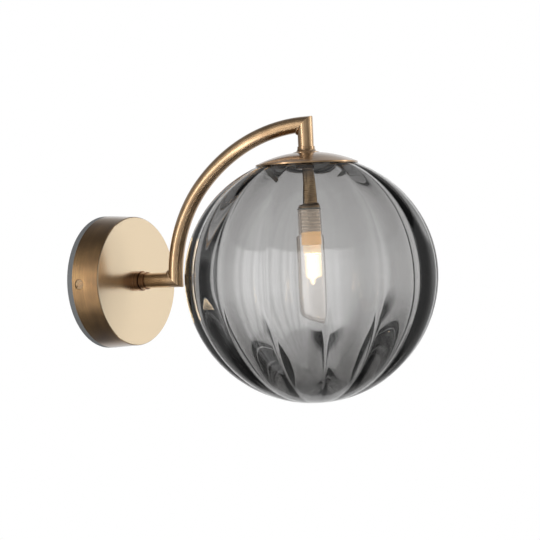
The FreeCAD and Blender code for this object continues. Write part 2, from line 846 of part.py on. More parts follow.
def make_drop_tube():
    """Short tube down from the arc's mitred end into the cap's collar."""
    length = s.arc_rise - s.globe_centre_height - s.drop_tube_end
    body = new_body("drop_tube")
    section = new_sketch(body, "XY_Plane", "drop_section")
    draw_circle(section, s.tube_radius)
    draw_circle(section, s.tube_bore)
    reach = 2 * s.tube_radius
    add_pad(body, section, length + reach, "drop_blank")
    mitre = new_sketch(body, "YZ_Plane", "drop_mitre")
    draw_outline(
        mitre,
        [
            (-reach, length + reach),
            (reach, length - reach),
            (reach, length + 2 * reach),
            (-reach, length + 2 * reach),
        ],
    )
    add_pocket(body, mitre, "drop_mitre_cut", midplane=True)
    place_on_drop(body, s.drop_tube_end)
    return body


# Cap and gallery


def make_cap_collar():
    """Collar under the drop tube, flared at its foot where it seats on the dome."""
    height = s.cap_collar_height
    flare = s.cap_collar_foot_radius - s.cap_collar_radius
    collar = lathe(
        "cap_collar",
        [
            (s.stem_radius + s.thread_fit, 0),
            (s.cap_collar_foot_radius, 0),
            (s.cap_collar_foot_radius, s.cap_collar_foot_edge),
            (s.cap_collar_radius, s.cap_collar_foot_edge + flare),
            (s.cap_collar_radius, height),
            (s.tube_radius + s.tube_fit, height),
            (s.tube_radius + s.tube_fit, height - s.cap_collar_seat_depth),
            (s.stem_radius + s.thread_fit, height - s.cap_collar_seat_depth),
        ],
        arcs={2: (flare, False)},
    )
    place_on_drop(collar, s.dome_seat_height)
    return collar


def make_dome_cap():
    """Shallow spun dome over the globe's lip, with a flat seat for the collar and the nut."""
    inner_radius = s.dome_outer_radius - s.dome_wall
    centre = s.dome_centre
    rim = s.dome_rim_radius
    outer_rim = centre + leg(s.dome_outer_radius, rim)
    inner_rim = centre + leg(inner_radius, rim)
    inner_seat = leg(inner_radius, s.dome_underside - centre)
    dome = lathe(
        "dome_cap",
        [
            (s.stem_radius + s.thread_fit, s.dome_seat_height),
            (s.dome_seat_radius, s.dome_seat_height),
            (rim, outer_rim),
            (rim, inner_rim),
            (inner_seat, s.dome_underside),
            (s.stem_radius + s.thread_fit, s.dome_underside),
        ],
        arcs={1: (s.dome_outer_radius, False), 3: (inner_radius, True)},
    )
    place_on_drop(dome)
    return dome


def make_gallery():
    """Nut that clamps the dome, disc that carries the springs, and the nut under it."""
    cap_nut = hex_nut("cap_nut", s.cap_nut_height)
    place_on_drop(cap_nut, s.gallery_top)
    disc = ring("globe_gallery", s.gallery_radius, s.thread_hole + s.thread_fit, s.gallery_thickness)
    place_on_drop(disc, s.gallery_underside)
    gallery_nut = hex_nut("gallery_nut", s.gallery_nut_height)
    place_on_drop(gallery_nut, s.gallery_underside - s.gallery_nut_height)
    return [cap_nut, disc, gallery_nut]


def strip_outline(points, thickness):
    """The closed outline of a strip of even thickness whose middle line runs through the points."""
    left, right = [], []
    for i, point in enumerate(points):
        into = (point - points[max(i - 1, 0)]) if i else (points[1] - point)
        onto = (points[i + 1] - point) if i + 1 < len(points) else into
        into, onto = into.normalize(), onto.normalize()
        bisector = (into + onto).normalize()
        normal = FreeCAD.Vector(-bisector.z, 0, bisector.x)
        spread = normal * (thickness / 2 / max(bisector.dot(into), 0.5))
        left.append(point + spread)
        right.append(point - spread)
    return Part.makePolygon(left + right[::-1] + left[:1])


def make_gallery_springs():
    """Leaf springs bent down from the gallery and bulged outwards under the globe's lip."""
    thickness, width = s.spring_thickness.value, s.spring_width.value
    top = s.gallery_underside.value - thickness / 2
    bulge = s.spring_bulge_radius.value
    knee = s.gallery_radius.value
    line = [
        (s.spring_foot_radius.value, top),
        (knee, top),
        (knee + s.spring_knee_width.value, top - s.spring_knee_drop.value),
        (bulge, top - s.spring_bulge_drop.value),
        (
            bulge - s.spring_return_width.value,
            top - s.spring_bulge_drop.value - s.spring_return_drop.value,
        ),
        (s.spring_end_radius.value, top - s.spring_end_drop.value),
    ]
    points = [FreeCAD.Vector(radius, 0, height) for radius, height in line]
    face = Part.Face(strip_outline(points, thickness))
    leaf = face.extrude(FreeCAD.Vector(0, width, 0))
    leaf.translate(FreeCAD.Vector(0, -width / 2, 0))
    count = int(s.spring_count.value)
    leaves = []
    for i in range(count):
        copy = leaf.copy()
        turn = s.spring_first_turn.value + 360 * i / count
        copy.rotate(FreeCAD.Vector(), FreeCAD.Vector(0, 0, 1), turn)
        leaves.append(copy)
    springs = feature("gallery_springs", Part.makeCompound(leaves))
    place_on_drop(springs)
    return springs


# Globe


def conic_arc(start, end):
    """Control points and weights of a unit circle's arc between two angles, as a rational curve."""
    half = (end - start) / 2
    middle = (start + end) / 2
    reach = 1 / math.cos(half)
    points = [
        (math.cos(start), math.sin(start)),
        (reach * math.cos(middle), reach * math.sin(middle)),
        (math.cos(end), math.sin(end)),
    ]
    return points, (1.0, math.cos(half), 1.0)


def lobe_section():
    """Control points and weights of one rib's plan: a circular arc from valley to valley."""
    crest = s.globe_radius.value
    valley = crest - s.rib_depth.value
    half_turn = math.pi / s.rib_count.value
    chord = valley * math.sin(half_turn)
    rise = crest - valley * math.cos(half_turn)
    radius = (chord**2 + rise**2) / (2 * rise)
    spread = math.asin(chord / radius)
    points, weights = conic_arc(-spread, spread)
    centre = crest - radius
    return [(centre + radius * x, radius * y) for x, y in points], weights


def lobe_face(section, section_weights, height, low, high):
    """One rib's surface: its plan scaled by the cosine of the latitude, raised by its sine."""
    meridian, meridian_weights = conic_arc(low, high)
    poles = [
        [FreeCAD.Vector(x * shrink, y * shrink, height * rise) for shrink, rise in meridian]
        for x, y in section
    ]
    weights = [[u * v for v in meridian_weights] for u in section_weights]
    surface = Part.BSplineSurface()
    surface.buildFromPolesMultsKnots(
        poles, [3, 3], [3, 3], [0.0, 1.0], [0.0, 1.0], False, False, 2, 2, weights
    )
    return surface


def ribbed_solid():
    """The globe's outside: ribs that meet in valleys, closed by a flat at the top and a small pole button."""
    section, weights = lobe_section()
    crest = s.globe_radius.value
    button_latitude = math.acos(s.globe_pole_button.value / crest)
    lip_latitude = math.acos((s.globe_hole_radius - s.globe_blank_margin).value / crest)
    upper = lobe_face(section, weights, s.globe_upper_height.value, 0, lip_latitude)
    lower = lobe_face(section, weights, s.globe_lower_height.value, -button_latitude, 0)
    ends = (upper.vIso(1.0).toShape(), lower.vIso(0.0).toShape())
    count = int(s.rib_count.value)
    faces, top_edges, pole_edges = [], [], []
    for i in range(count):
        turn = s.rib_phase.value + 360 * (i + 0.5) / count
        for shape, group in (
            (upper.toShape(), faces),
            (lower.toShape(), faces),
            (ends[0], top_edges),
            (ends[1], pole_edges),
        ):
            copy = shape.copy()
            copy.rotate(FreeCAD.Vector(), FreeCAD.Vector(0, 0, 1), turn)
            group.append(copy)
    for edges in (top_edges, pole_edges):
        faces.append(Part.Face(Part.Wire(edges)))
    shell = Part.makeShell(faces)
    shell.sewShape()
    solid = Part.makeSolid(shell)
    if solid.Volume < 0:
        solid.reverse()
    return solid


def make_globe():
    """Ribbed outside, plain inside, a round hole and a ground flat lip at the top."""
    outside = ribbed_solid()
    wall = s.globe_wall.value
    inner_radius = s.globe_radius.value - wall
    halves = []
    for height, low, high in (
        (s.globe_upper_height.value - wall, 0, math.pi / 2),
        (s.globe_lower_height.value - wall, -math.pi / 2, 0),
    ):
        meridian, weights = conic_arc(low, high)
        curve = Part.BSplineCurve()
        curve.buildFromPolesMultsKnots(
            [FreeCAD.Vector(inner_radius * x, 0, height * z) for x, z in meridian],
            [3, 3], [0.0, 1.0], False, 2, list(weights),
        )
        halves.append(curve.toShape())
    axis = Part.LineSegment(
        FreeCAD.Vector(0, 0, s.globe_upper_height.value - wall),
        FreeCAD.Vector(0, 0, wall - s.globe_lower_height.value),
    ).toShape()
    profile = Part.Face(Part.Wire([halves[1], halves[0], axis]))
    hollow = profile.revolve(FreeCAD.Vector(), FreeCAD.Vector(0, 0, 1), 360)
    lip, hole = s.globe_lip_height.value, s.globe_hole_radius.value
    mouth = Part.makeCylinder(hole, 2 * lip, FreeCAD.Vector(0, 0, lip / 2))
    above = Part.makeCylinder(2 * hole, lip, FreeCAD.Vector(0, 0, lip))
    glass = outside.cut(above).cut(hollow).cut(mouth)
    globe = feature("globe", glass)
    place_on_drop(globe)
    return globe


def make_globe_gasket():
    """Flat ring on the globe's ground lip."""
    inner = s.globe_hole_radius + s.gasket_inset
    gasket = ring("globe_gasket", s.gasket_outer, inner, s.gasket_thickness)
    place_on_drop(gasket, s.globe_lip_height)
    return gasket


# Stem and lampholder


def make_stem():
    """Threaded brass tube from inside the drop tube down to the lampholder."""
    end = s.holder_top
    top = s.drop_tube_end + s.stem_into_drop
    body = ring("inner_stem", s.stem_radius - s.thread_fit, s.tube_bore_of_thread, top - end)
    place_on_drop(body, end)
    return body


def make_holder_cap():
    """Rounded cap over the lampholder, threaded on the stem's end."""
    rounding = s.holder_cap_round
    height = s.holder_cap_height
    cap = lathe(
        "lampholder_cap",
        [
            (s.tube_bore_of_thread, 0),
            (s.holder_cap_radius, 0),
            (s.holder_cap_radius, height - rounding),
            (s.holder_cap_radius - rounding, height),
            (s.tube_bore_of_thread, height),
        ],
        arcs={2: (rounding, True)},
    )
    place_on_drop(cap, s.holder_seat)
    return cap


def make_sleeve():
    """Threaded brass sleeve that the clear tube screws onto."""
    sleeve = ring("lampholder_sleeve", s.sleeve_radius, s.sleeve_radius - s.sleeve_wall, s.sleeve_length)
    place_on_drop(sleeve, s.sleeve_end)
    return sleeve


def make_ceramic():
    """Ceramic body: a wiring cavity above, a foot below the sleeve, and two sockets through its floor."""
    inner = s.sleeve_radius - s.sleeve_wall - s.ceramic_fit
    top = s.holder_seat - s.ceramic_bottom
    step = s.sleeve_end - s.ceramic_bottom
    floor = s.ceramic_floor - s.ceramic_bottom
    body = lathe(
        "lampholder_ceramic",
        [
            (0, 0),
            (s.ceramic_foot_radius, 0),
            (s.ceramic_foot_radius, step),
            (inner, step),
            (inner, top),
            (s.ceramic_cavity_radius, top),
            (s.ceramic_cavity_radius, floor),
            (0, floor),
        ],
    )
    sockets = new_sketch(body, "XY_Plane", "sockets")
    for side in (-1, 1):
        draw_rectangle(sockets, s.socket_width, s.socket_breadth, side * s.pin_spacing / 2)
    add_pocket(body, sockets, "socket_cut", reverse=True)
    place_on_drop(body, s.ceramic_bottom)
    return body


def make_contacts():
    """Two bent contact strips: a foot on the cavity's floor and a leg down each socket's outer side."""
    thickness, breadth = s.contact_thickness.value, s.contact_breadth.value
    outer = (s.pin_spacing / 2 + s.socket_width / 2 - s.contact_inset).value
    inner = s.contact_inner_end.value
    floor = s.ceramic_floor.value
    leg_length = s.contact_leg_length.value
    foot = Part.makeBox(outer - inner, breadth, thickness, FreeCAD.Vector(inner, -breadth / 2, floor))
    leg_base = FreeCAD.Vector(outer - thickness, -breadth / 2, floor - leg_length)
    leg = Part.makeBox(thickness, breadth, leg_length + thickness / 2, leg_base)
    contact = foot.fuse(leg).removeSplitter()
    opposite = contact.copy()
    opposite.rotate(FreeCAD.Vector(), FreeCAD.Vector(0, 0, 1), 180)
    contacts = feature("lampholder_contacts", Part.makeCompound([contact, opposite]))
    place_on_drop(contacts)
    return contacts


# Clear tube over the bulb


def make_cover_seal():
    """Silicone ring between the lampholder's cap and the clear tube's rim."""
    seal = ring("cover_seal", s.seal_outer_radius, s.seal_inner_radius, s.seal_thickness)
    place_on_drop(seal, s.seal_bottom)
    return seal


def make_bulb_cover():
    """Clear glass tube, closed and rounded below, with ridges on its screw neck."""
    height = s.cover_top - s.cover_bottom
    neck_start = height - s.cover_ridge_count * s.cover_ridge_pitch
    shoulder = neck_start - s.cover_shoulder
    rounding = s.cover_bottom_round
    flat = s.cover_radius - rounding
    inner_radius = s.cover_radius - s.cover_wall
    corners = [(0, 0), (flat, 0), (s.cover_radius, rounding), (s.cover_radius, shoulder)]
    for i in range(int(s.cover_ridge_count.value)):
        root = neck_start + i * s.cover_ridge_pitch
        corners.append((s.cover_neck_radius, root))
        corners.append((s.cover_neck_radius + s.cover_ridge_height, root + s.cover_ridge_pitch / 2))
    corners += [
        (s.cover_neck_radius, height),
        (s.cover_bore, height),
        (s.cover_bore, neck_start),
        (inner_radius, shoulder),
        (inner_radius, rounding),
        (flat, s.cover_wall),
        (0, s.cover_wall),
    ]
    inner_round = len(corners) - 3
    cover = lathe(
        "bulb_cover",
        corners,
        arcs={1: (rounding, True), inner_round: (rounding - s.cover_wall, False)},
    )
    place_on_drop(cover, s.cover_bottom)
    return cover


# Bulb


def make_bulb_base():
    """Flat ceramic base of the bulb."""
    body = new_body("bulb_base")
    outline = new_sketch(body, "XY_Plane", "base_outline")
    draw_rectangle(outline, s.base_length, s.base_breadth)
    add_pad(body, outline, s.base_height, "base_pad")
    place_on_drop(body, s.capsule_top)
    return body


def make_bulb_pins():
    """Two looped wire pins standing on the base."""
    loops = []
    half, top = s.pin_loop_half.value, s.pin_length.value
    for side in (-1, 1):
        x = side * s.pin_spacing.value / 2
        points = [
            FreeCAD.Vector(x, -half, 0),
            FreeCAD.Vector(x, -half, top),
            FreeCAD.Vector(x, half, top),
            FreeCAD.Vector(x, half, 0),
        ]
        path = rounded_path(points, [s.pin_loop_bend.value] * 2)
        loops.append(tube_along("bulb_pins", path, s.pin_wire_radius.value))
    pins = feature("bulb_pins", Part.makeCompound(loops))
    place_on_drop(pins, s.base_top)
    return pins


def make_capsule():
    """Hollow glass capsule with a tapered end and a nib."""
    taper_start = s.nib_length + s.capsule_taper
    top = taper_start + s.capsule_straight
    wall = s.capsule_wall
    capsule = lathe(
        "bulb_capsule",
        [
            (0, 0),
            (s.nib_radius, 0),
            (s.nib_radius, s.nib_length),
            (s.capsule_radius, taper_start),
            (s.capsule_radius, top),
            (0, top),
            (0, top - wall),
            (s.capsule_radius - wall, top - wall),
            (s.capsule_radius - wall, taper_start),
            (s.nib_radius - wall, s.nib_length + wall / 2),
            (0, s.nib_length + wall / 2),
        ],
    )
    place_on_drop(capsule, s.capsule_top - top)
    return capsule


def make_filament():
    """Bent filament wire hung from the capsule's top."""
    half, length = s.filament_half_width.value, s.filament_length.value
    points = [
        FreeCAD.Vector(-half, 0, 0),
        FreeCAD.Vector(-half, 0, -length),
        FreeCAD.Vector(half, 0, -length),
        FreeCAD.Vector(half, 0, 0),
    ]
    path = rounded_path(points, [s.filament_bend.value] * 2)
    wire = tube_along("bulb_filament", path, s.filament_wire_radius.value)
    filament = feature("bulb_filament", wire)
    place_on_drop(filament, s.capsule_top - s.capsule_wall)
    return filament


# Wiring


def arc_edge(across, centre_out, centre_up, radius, first, last):
    """An arc in the arm's plane, its angles measured from outwards to upwards, in degrees."""
    marks = []
    for angle in (first, (first + last) / 2, last):
        turn = math.radians(angle)
        marks.append(
            out_point(across, centre_out + radius * math.cos(turn), centre_up + radius * math.sin(turn))
        )
    return Part.Arc(*marks).toShape()


def run_through_tubes(across, start, end_height):
    """Edges of a wire that follows the arm, the bent tube and the drop inside their bores."""
    half = math.sqrt(0.5)
    corner = s.wire_corner_radius.value
    arm, rise, drop = s.arm_reach.value, s.arc_rise.value, s.drop_out.value
    reach, climb = drop - arm - corner, rise - corner
    share = (1 - half) / half
    lower = (climb - reach * share) / (half - (1 - half) * share)
    upper = (reach - lower * (1 - half)) / half
    turn_out, turn_up = arm + lower * (1 - half), corner + lower * half
    upper_out, upper_up = turn_out + upper * half, turn_up - upper * half
    return [
        Part.LineSegment(start, out_point(across, arm - corner, 0)).toShape(),
        arc_edge(across, arm - corner, corner, corner, -90, 0),
        arc_edge(across, arm + lower, corner, lower, 180, 135),
        arc_edge(across, upper_out, upper_up, upper, 135, 90),
        arc_edge(across, drop - corner, rise - corner, corner, 90, 0),
        Part.LineSegment(
            out_point(across, drop, rise - corner), out_point(across, drop, end_height)
        ).toShape(),
    ]


def make_mains_wires():
    """Live and neutral wires from the terminal block through all tubes to the lampholder's contacts."""
    end_height = s.globe_centre_height + s.ceramic_floor + s.contact_thickness
    pieces = []
    for side, label in ((-1, "live_wire"), (1, "neutral_wire")):
        across = side * s.wire_offset.value
        pole = side * s.pole_spacing.value
        settled = out_point(across, s.wire_turn_out + 2 * s.wire_bend_radius, 0)
        points = [
            out_point(pole, s.block_axis_out, s.block_rise + s.wire_in_terminal),
            out_point(pole, s.block_axis_out, s.wire_drop_height),
            out_point(across, s.wire_turn_out, 0),
            settled,
        ]
        bend = s.wire_bend_radius.value
        edges = rounded_path(points, [bend, bend])
        edges += run_through_tubes(across, settled, end_height.value)
        pieces.append(feature(label, tube_along(label, edges, s.wire_radius.value)))
    return pieces


def make_earth_wire():
    """Earth wire from the middle pole to the tag's tongue."""
    height = s.earth_tongue_hole_height
    points = [
        out_point(0, s.block_axis_out, s.block_rise + s.wire_in_terminal),
        out_point(0, s.block_axis_out, height),
        out_point(0, s.tag_out, height),
    ]
    edges = rounded_path(points, [s.wire_bend_radius.value])
    return feature("earth_wire", tube_along("earth_wire", edges, s.wire_radius.value))


def check_document(pieces):
    """Stop if any object failed to build or a piece has no valid shape."""
    for item in doc.Objects:
        if any(state in ("Invalid", "Error") for state in item.State):
            raise RuntimeError(f"{item.Name} did not build: {item.State}")
    for piece in pieces:
        if piece.Shape.isNull() or not piece.Shape.isValid() or not piece.Shape.Solids:
            raise RuntimeError(f"{piece.Label} has no valid solid")


def main():
    """Build every piece, check the document and write one STEP file per piece."""
    pieces = [make_wall_plate(), make_canopy(), make_side_screws()]
    pieces += [make_terminal_block(), make_terminal_tubes(), make_terminal_screws(), make_earth_tag()]
    pieces += make_arm_hardware()
    pieces += [make_arm_collar(), make_arm_tube(), make_arc_tube(), make_drop_tube()]
    pieces += [make_cap_collar(), make_dome_cap(), *make_gallery(), make_gallery_springs()]
    pieces += [make_globe(), make_globe_gasket()]
    pieces += [make_stem(), make_holder_cap(), make_sleeve(), make_ceramic(), make_contacts()]
    pieces += [make_cover_seal(), make_bulb_cover()]
    pieces += [make_bulb_base(), make_bulb_pins(), make_capsule(), make_filament()]
    pieces += [*make_mains_wires(), make_earth_wire()]
    doc.recompute()
    check_document(pieces)
    os.makedirs("parts", exist_ok=True)
    for piece in pieces:
        piece.Shape.exportStep(f"parts/{piece.Label}.step")
        print(f"{piece.Label}: {len(piece.Shape.Solids)} solid(s), {piece.Shape.Volume / 1000:.2f} cm3")


main()
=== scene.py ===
"""Looks of a globe wall sconce: a brass canopy and curved arm that hang a ribbed smoked-glass globe.

The wall is the plane y = 0, the light stands out of it towards -Y, and +Z is up. Lengths are metres.
"""
import logging
import math
from dataclasses import dataclass
from enum import Enum

import bpy
import numpy as np
from bpy.types import Material, Node, NodeSocket, NodeTree, Object
from mathutils import Matrix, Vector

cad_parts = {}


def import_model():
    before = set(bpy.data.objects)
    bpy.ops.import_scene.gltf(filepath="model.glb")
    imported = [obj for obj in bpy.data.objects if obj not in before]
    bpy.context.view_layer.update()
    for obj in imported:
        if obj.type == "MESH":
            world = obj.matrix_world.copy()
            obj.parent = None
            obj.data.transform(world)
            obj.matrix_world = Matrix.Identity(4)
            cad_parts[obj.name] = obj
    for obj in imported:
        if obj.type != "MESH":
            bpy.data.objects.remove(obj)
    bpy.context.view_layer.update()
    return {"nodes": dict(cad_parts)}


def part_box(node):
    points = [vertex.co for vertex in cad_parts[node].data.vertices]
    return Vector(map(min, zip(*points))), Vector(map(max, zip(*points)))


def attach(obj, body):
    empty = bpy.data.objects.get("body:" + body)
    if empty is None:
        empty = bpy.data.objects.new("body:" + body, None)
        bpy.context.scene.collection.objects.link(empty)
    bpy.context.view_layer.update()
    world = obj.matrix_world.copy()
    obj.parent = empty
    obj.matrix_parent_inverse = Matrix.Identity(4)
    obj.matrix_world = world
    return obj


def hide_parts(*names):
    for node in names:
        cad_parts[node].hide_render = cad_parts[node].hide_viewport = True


LOG = logging.getLogger("sconce")
MM = 0.001
BRUSH = "brush"  # the attribute that says where a point lies round and along its tube
CREASE = 32.0  # edges sharper than this, in degrees, stay sharp in the shading


# Colour and nodes


def linear(hex_colour: str) -> tuple[float, float, float, float]:
    """Turn an sRGB hex colour into a linear one.

    Args:
        hex_colour: six hex digits with a leading #.

    Returns:
        Linear red, green and blue, and an alpha of 1.
    """
    channels = [int(hex_colour[i:i + 2], 16) / 255 for i in (1, 3, 5)]
    lit = [c / 12.92 if c <= 0.04045 else ((c + 0.055) / 1.055) ** 2.4 for c in channels]
    return (*lit, 1.0)


def add_node(tree: NodeTree, kind: str, settings: dict | None = None, **inputs: object) -> Node:
    """Add a node with its settings and its inputs.

    Args:
        tree: the node tree.
        kind: the node's type name.
        settings: attributes of the node itself.
        inputs: socket name, or i and the socket's number, to a value, an output socket, or a node, which
            stands for its first output.

    Returns:
        The new node.
    """
    node = tree.nodes.new(kind)
    for name, value in (settings or {}).items():
        setattr(node, name, value)
    for name, value in inputs.items():
        socket = node.inputs[int(name[1:])] if name[1:].isdigit() else node.inputs[name.replace("_", " ")]
        if isinstance(value, Node):
            value = value.outputs[0]
        if isinstance(value, NodeSocket):
            tree.links.new(value, socket)
        else:
            socket.default_value = value
    return node


def set_ramp(node: Node, stops: list[tuple[float, tuple]], blend: str = "LINEAR") -> None:
    """Give a colour ramp its stops.

    Args:
        node: the colour ramp.
        stops: position from 0 to 1, and linear colour.
        blend: the ramp's interpolation.
    """
    ramp = node.color_ramp
    ramp.interpolation = blend
    while len(ramp.elements) > 1:
        ramp.elements.remove(ramp.elements[-1])
    ramp.elements[0].position, ramp.elements[0].color = stops[0]
    for position, colour in stops[1:]:
        ramp.elements.new(position).color = colour


def new_material(name: str) -> tuple[Material, NodeTree, NodeSocket]:
    """Make an empty node material.

    Args:
        name: the material's name.

    Returns:
        The material, its node tree and the object's own coordinates.
    """
    material = bpy.data.materials.new(name)
    material.use_nodes = True
    material.node_tree.nodes.clear()
    place = add_node(material.node_tree, "ShaderNodeTexCoord").outputs["Object"]
    return material, material.node_tree, place


def end_material(tree: NodeTree, surface: Node, volume: Node | None = None) -> None:
    """Lead a shader, and a volume if there is one, to the material's output.

    Args:
        tree: the material's node tree.
        surface: the shader.
        volume: the volume shader.
    """
    links = {"Surface": surface}
    if volume is not None:
        links["Volume"] = volume
    add_node(tree, "ShaderNodeOutputMaterial", **links)


# Finishes


class Lay(Enum):
    """Which way the marks of the making run."""

    SPUN_ON_WALL = "round the wall axis"
    SPUN_ON_DROP = "round the drop axis"
    DRAWN = "along a tube that lies in the middle plane"


@dataclass(frozen=True)
class AgedBrass:
    """Lacquered brass, brushed and darkened: warm brown with pale brushed streaks under a clear coat.

    Real streaks are about a tenth of a millimetre wide, and streak is drawn coarser so that they show.
    """

    name: str
    lay: Lay
    dark: str = "#8E7050"
    pale: str = "#C9A880"
    face: str | None = None  # one colour for what lies ahead of face_start, a painted reflection of the bright surround that the front mirrors
    face_start: float = 0.0
    roughness: float = 0.27
    swing: tuple[float, float] = (0.75, 1.3)  # shares of the roughness that the streaks run between
    streak: float = 0.45 * MM
    stretch: float = 60.0  # a drawn streak's length in widths
    cloud: float = 1 / 45  # metres from one patch of tarnish to the next, so 22 mm
    tones: tuple[float, float] = (0.12, 0.40)  # where the two noises' product turns dark and pale
    scratch: float = 0.02 * MM
    relief: float = 0.12
    lacquer: float = 0.8
    lacquer_roughness: float = 0.12
    drop_axis: float = 0.0

    def build(self) -> Material:
        """Make the material: stretched noise in the brushing's direction drives colour, roughness and bump.

        Returns:
            The material.
        """
        material, tree, place = new_material(self.name)
        fine = 1 / self.streak
        if self.lay is Lay.DRAWN:
            along = add_node(tree, "ShaderNodeAttribute", {"attribute_name": BRUSH}).outputs["Vector"]
            scale = (fine, fine, fine / self.stretch)
            marks = add_node(tree, "ShaderNodeMapping", Vector=along, Scale=scale)
        else:
            centre = (0.0, -self.drop_axis, 0.0) if self.lay is Lay.SPUN_ON_DROP else (0.0, 0.0, 0.0)
            moved = add_node(tree, "ShaderNodeMapping", Vector=place, Location=centre)
            split = add_node(tree, "ShaderNodeSeparateXYZ", Vector=moved).outputs
            across, depth = (("Y", "Z") if self.lay is Lay.SPUN_ON_DROP else ("Z", "Y"))
            flat = add_node(tree, "ShaderNodeCombineXYZ", X=split["X"], Y=split[across])
            length = {"operation": "LENGTH"}
            radius = add_node(tree, "ShaderNodeVectorMath", length, Vector=flat).outputs["Value"]
            ring = add_node(tree, "ShaderNodeCombineXYZ", X=radius, Y=split[depth])
            marks = add_node(tree, "ShaderNodeMapping", Vector=ring, Scale=(fine, fine, fine))
        brushed = add_node(tree, "ShaderNodeTexNoise", Vector=marks, Scale=1.0, Detail=3.0, Roughness=0.6)
        cloud = add_node(tree, "ShaderNodeTexNoise", Vector=place, Scale=1 / self.cloud, Detail=2.0)
        both = add_node(tree, "ShaderNodeMath", {"operation": "MULTIPLY"}, i0=brushed, i1=cloud)
        colour = add_node(tree, "ShaderNodeValToRGB", Fac=both)
        set_ramp(colour, list(zip(self.tones, (linear(self.dark), linear(self.pale)))))
        # painted reflection: ahead of face_start one pale colour replaces the brass's streaks
        if self.face:
            deep = add_node(tree, "ShaderNodeSeparateXYZ", Vector=place).outputs["Y"]
            ahead = add_node(tree, "ShaderNodeMath", {"operation": "LESS_THAN"}, i0=deep, i1=self.face_start)
            sides = {"i6": colour, "i7": linear(self.face)}
            colour = add_node(tree, "ShaderNodeMix", {"data_type": "RGBA"}, Factor=ahead, **sides).outputs[2]
        smoothest, roughest = (self.roughness * share for share in self.swing)
        rough = add_node(tree, "ShaderNodeMapRange", Value=brushed, i3=smoothest, i4=roughest)
        bump = add_node(tree, "ShaderNodeBump", Strength=self.relief, Distance=self.scratch, Height=brushed)
        shader = add_node(
            tree, "ShaderNodeBsdfPrincipled", Base_Color=colour, Metallic=1.0, Roughness=rough, Normal=bump,
            Coat_Weight=self.lacquer, Coat_Roughness=self.lacquer_roughness,
        )
        end_material(tree, shader)
        return material


@dataclass(frozen=True)
class PlainFinish:
    """A moulded, glazed, plated or extruded surface: one colour, slightly uneven, with its own grain."""

    name: str
    colour: str
    shade: str
    roughness: float
    metallic: float = 0.0
    grain: float = 0.6 * MM
    bump: float = 0.1
    pit: float = 0.03 * MM
    tones: tuple[float, float] = (0.35, 0.65)  # where the noise turns to shade and to colour
    coat: float = 0.0
    coat_roughness: float = 0.1
    # painted light: an emission that stands for a lamp's light falling on the surface
    glow: float = 0.0

    def build(self) -> Material:
        """Make the material: fine noise mixes two close colours and lifts the surface a little.

        Returns:
            The material.
        """
        material, tree, place = new_material(self.name)
        fine = 1 / self.grain
        noise = add_node(tree, "ShaderNodeTexNoise", Vector=place, Scale=fine, Detail=3.0)
        tone = add_node(tree, "ShaderNodeValToRGB", Fac=noise)
        set_ramp(tone, list(zip(self.tones, (linear(self.shade), linear(self.colour)))))
        bump = add_node(tree, "ShaderNodeBump", Strength=self.bump, Distance=self.pit, Height=noise)
        shader = add_node(
            tree, "ShaderNodeBsdfPrincipled", Base_Color=tone, Metallic=self.metallic,
            Roughness=self.roughness, Normal=bump, Coat_Weight=self.coat, Coat_Roughness=self.coat_roughness,
            Emission_Color=linear(self.colour), Emission_Strength=self.glow,
        )
        end_material(tree, shader)
        return material


@dataclass(frozen=True)
class BlownGlass:
    """Glass, clear or smoked: its surface is fire-polished, and the smoke is in the melt.

    So it mirrors sharply, and looks darker where the way through it is longer, as at the outline.
    """

    name: str
    tint: str = "#FFFFFF"
    smoke: str = "#FFFFFF"
    density: float = 0.0
    ior: float = 1.5
    roughness: float = 0.0
    waver: float = 0.0  # how strong the blowing's slow waves are, 0 in drawn tube
    wave: float = 1 / 38  # metres from one slow wave to the next, so 26 mm
    wave_height: float = 0.5 * MM
    glow: str = "#000000"  # stands for the light of the bulb that the glass catches
    strength: float = 0.0

    def build(self) -> Material:
        """Make the material: a refracting surface with slow waves of the blowing, and absorption inside.

        Returns:
            The material.
        """
        material, tree, place = new_material(self.name)
        wave = add_node(tree, "ShaderNodeTexNoise", Vector=place, Scale=1 / self.wave, Detail=1.0)
        bump = add_node(tree, "ShaderNodeBump", Strength=self.waver, Distance=self.wave_height, Height=wave)
        shader = add_node(
            tree, "ShaderNodeBsdfPrincipled", Base_Color=linear(self.tint), Roughness=self.roughness,
            IOR=self.ior, Transmission_Weight=1.0, Normal=bump,
            Emission_Color=linear(self.glow), Emission_Strength=self.strength,
        )
        volume = None
        if self.density:
            smoke = linear(self.smoke)
            volume = add_node(tree, "ShaderNodeVolumeAbsorption", Color=smoke, Density=self.density)
        end_material(tree, shader, volume)
        return material


@dataclass(frozen=True)
class GlowingWire:
    """Tungsten wire at working heat: it shines warm white."""

    name: str
    metal: str = "#6E6A66"
    grain: float = 1 / 900  # metres, so 1.1 mm
    roughness: tuple[float, float] = (0.3, 0.5)
    glow: str = "#FFE2B0"
    strength: float = 50.0

    def build(self) -> Material:
        """Make the material: a bare metal that gives off light of its own.

        Returns:
            The material.
        """
        material, tree, place = new_material(self.name)
        noise = add_node(tree, "ShaderNodeTexNoise", Vector=place, Scale=1 / self.grain, Detail=2.0)
        smoothest, roughest = self.roughness
        rough = add_node(tree, "ShaderNodeMapRange", Value=noise, i3=smoothest, i4=roughest)
        shader = add_node(
            tree, "ShaderNodeBsdfPrincipled", Base_Color=linear(self.metal), Metallic=1.0, Roughness=rough,
            Emission_Color=linear(self.glow), Emission_Strength=self.strength,
        )
        end_material(tree, shader)
        return material


# Surfaces


def eased(share: np.ndarray) -> np.ndarray:
    """Half a cosine wave, (1 - cos(pi share)) / 2: level at 0 and at 1, and held beyond them."""
    return 0.5 - 0.5 * np.cos(math.pi * np.clip(share, 0, 1))


def round_angles(columns: int) -> np.ndarray:
    """One row of angles, evenly spaced once round."""
    return np.linspace(0, 2 * math.pi, columns, endpoint=False)[None, :]


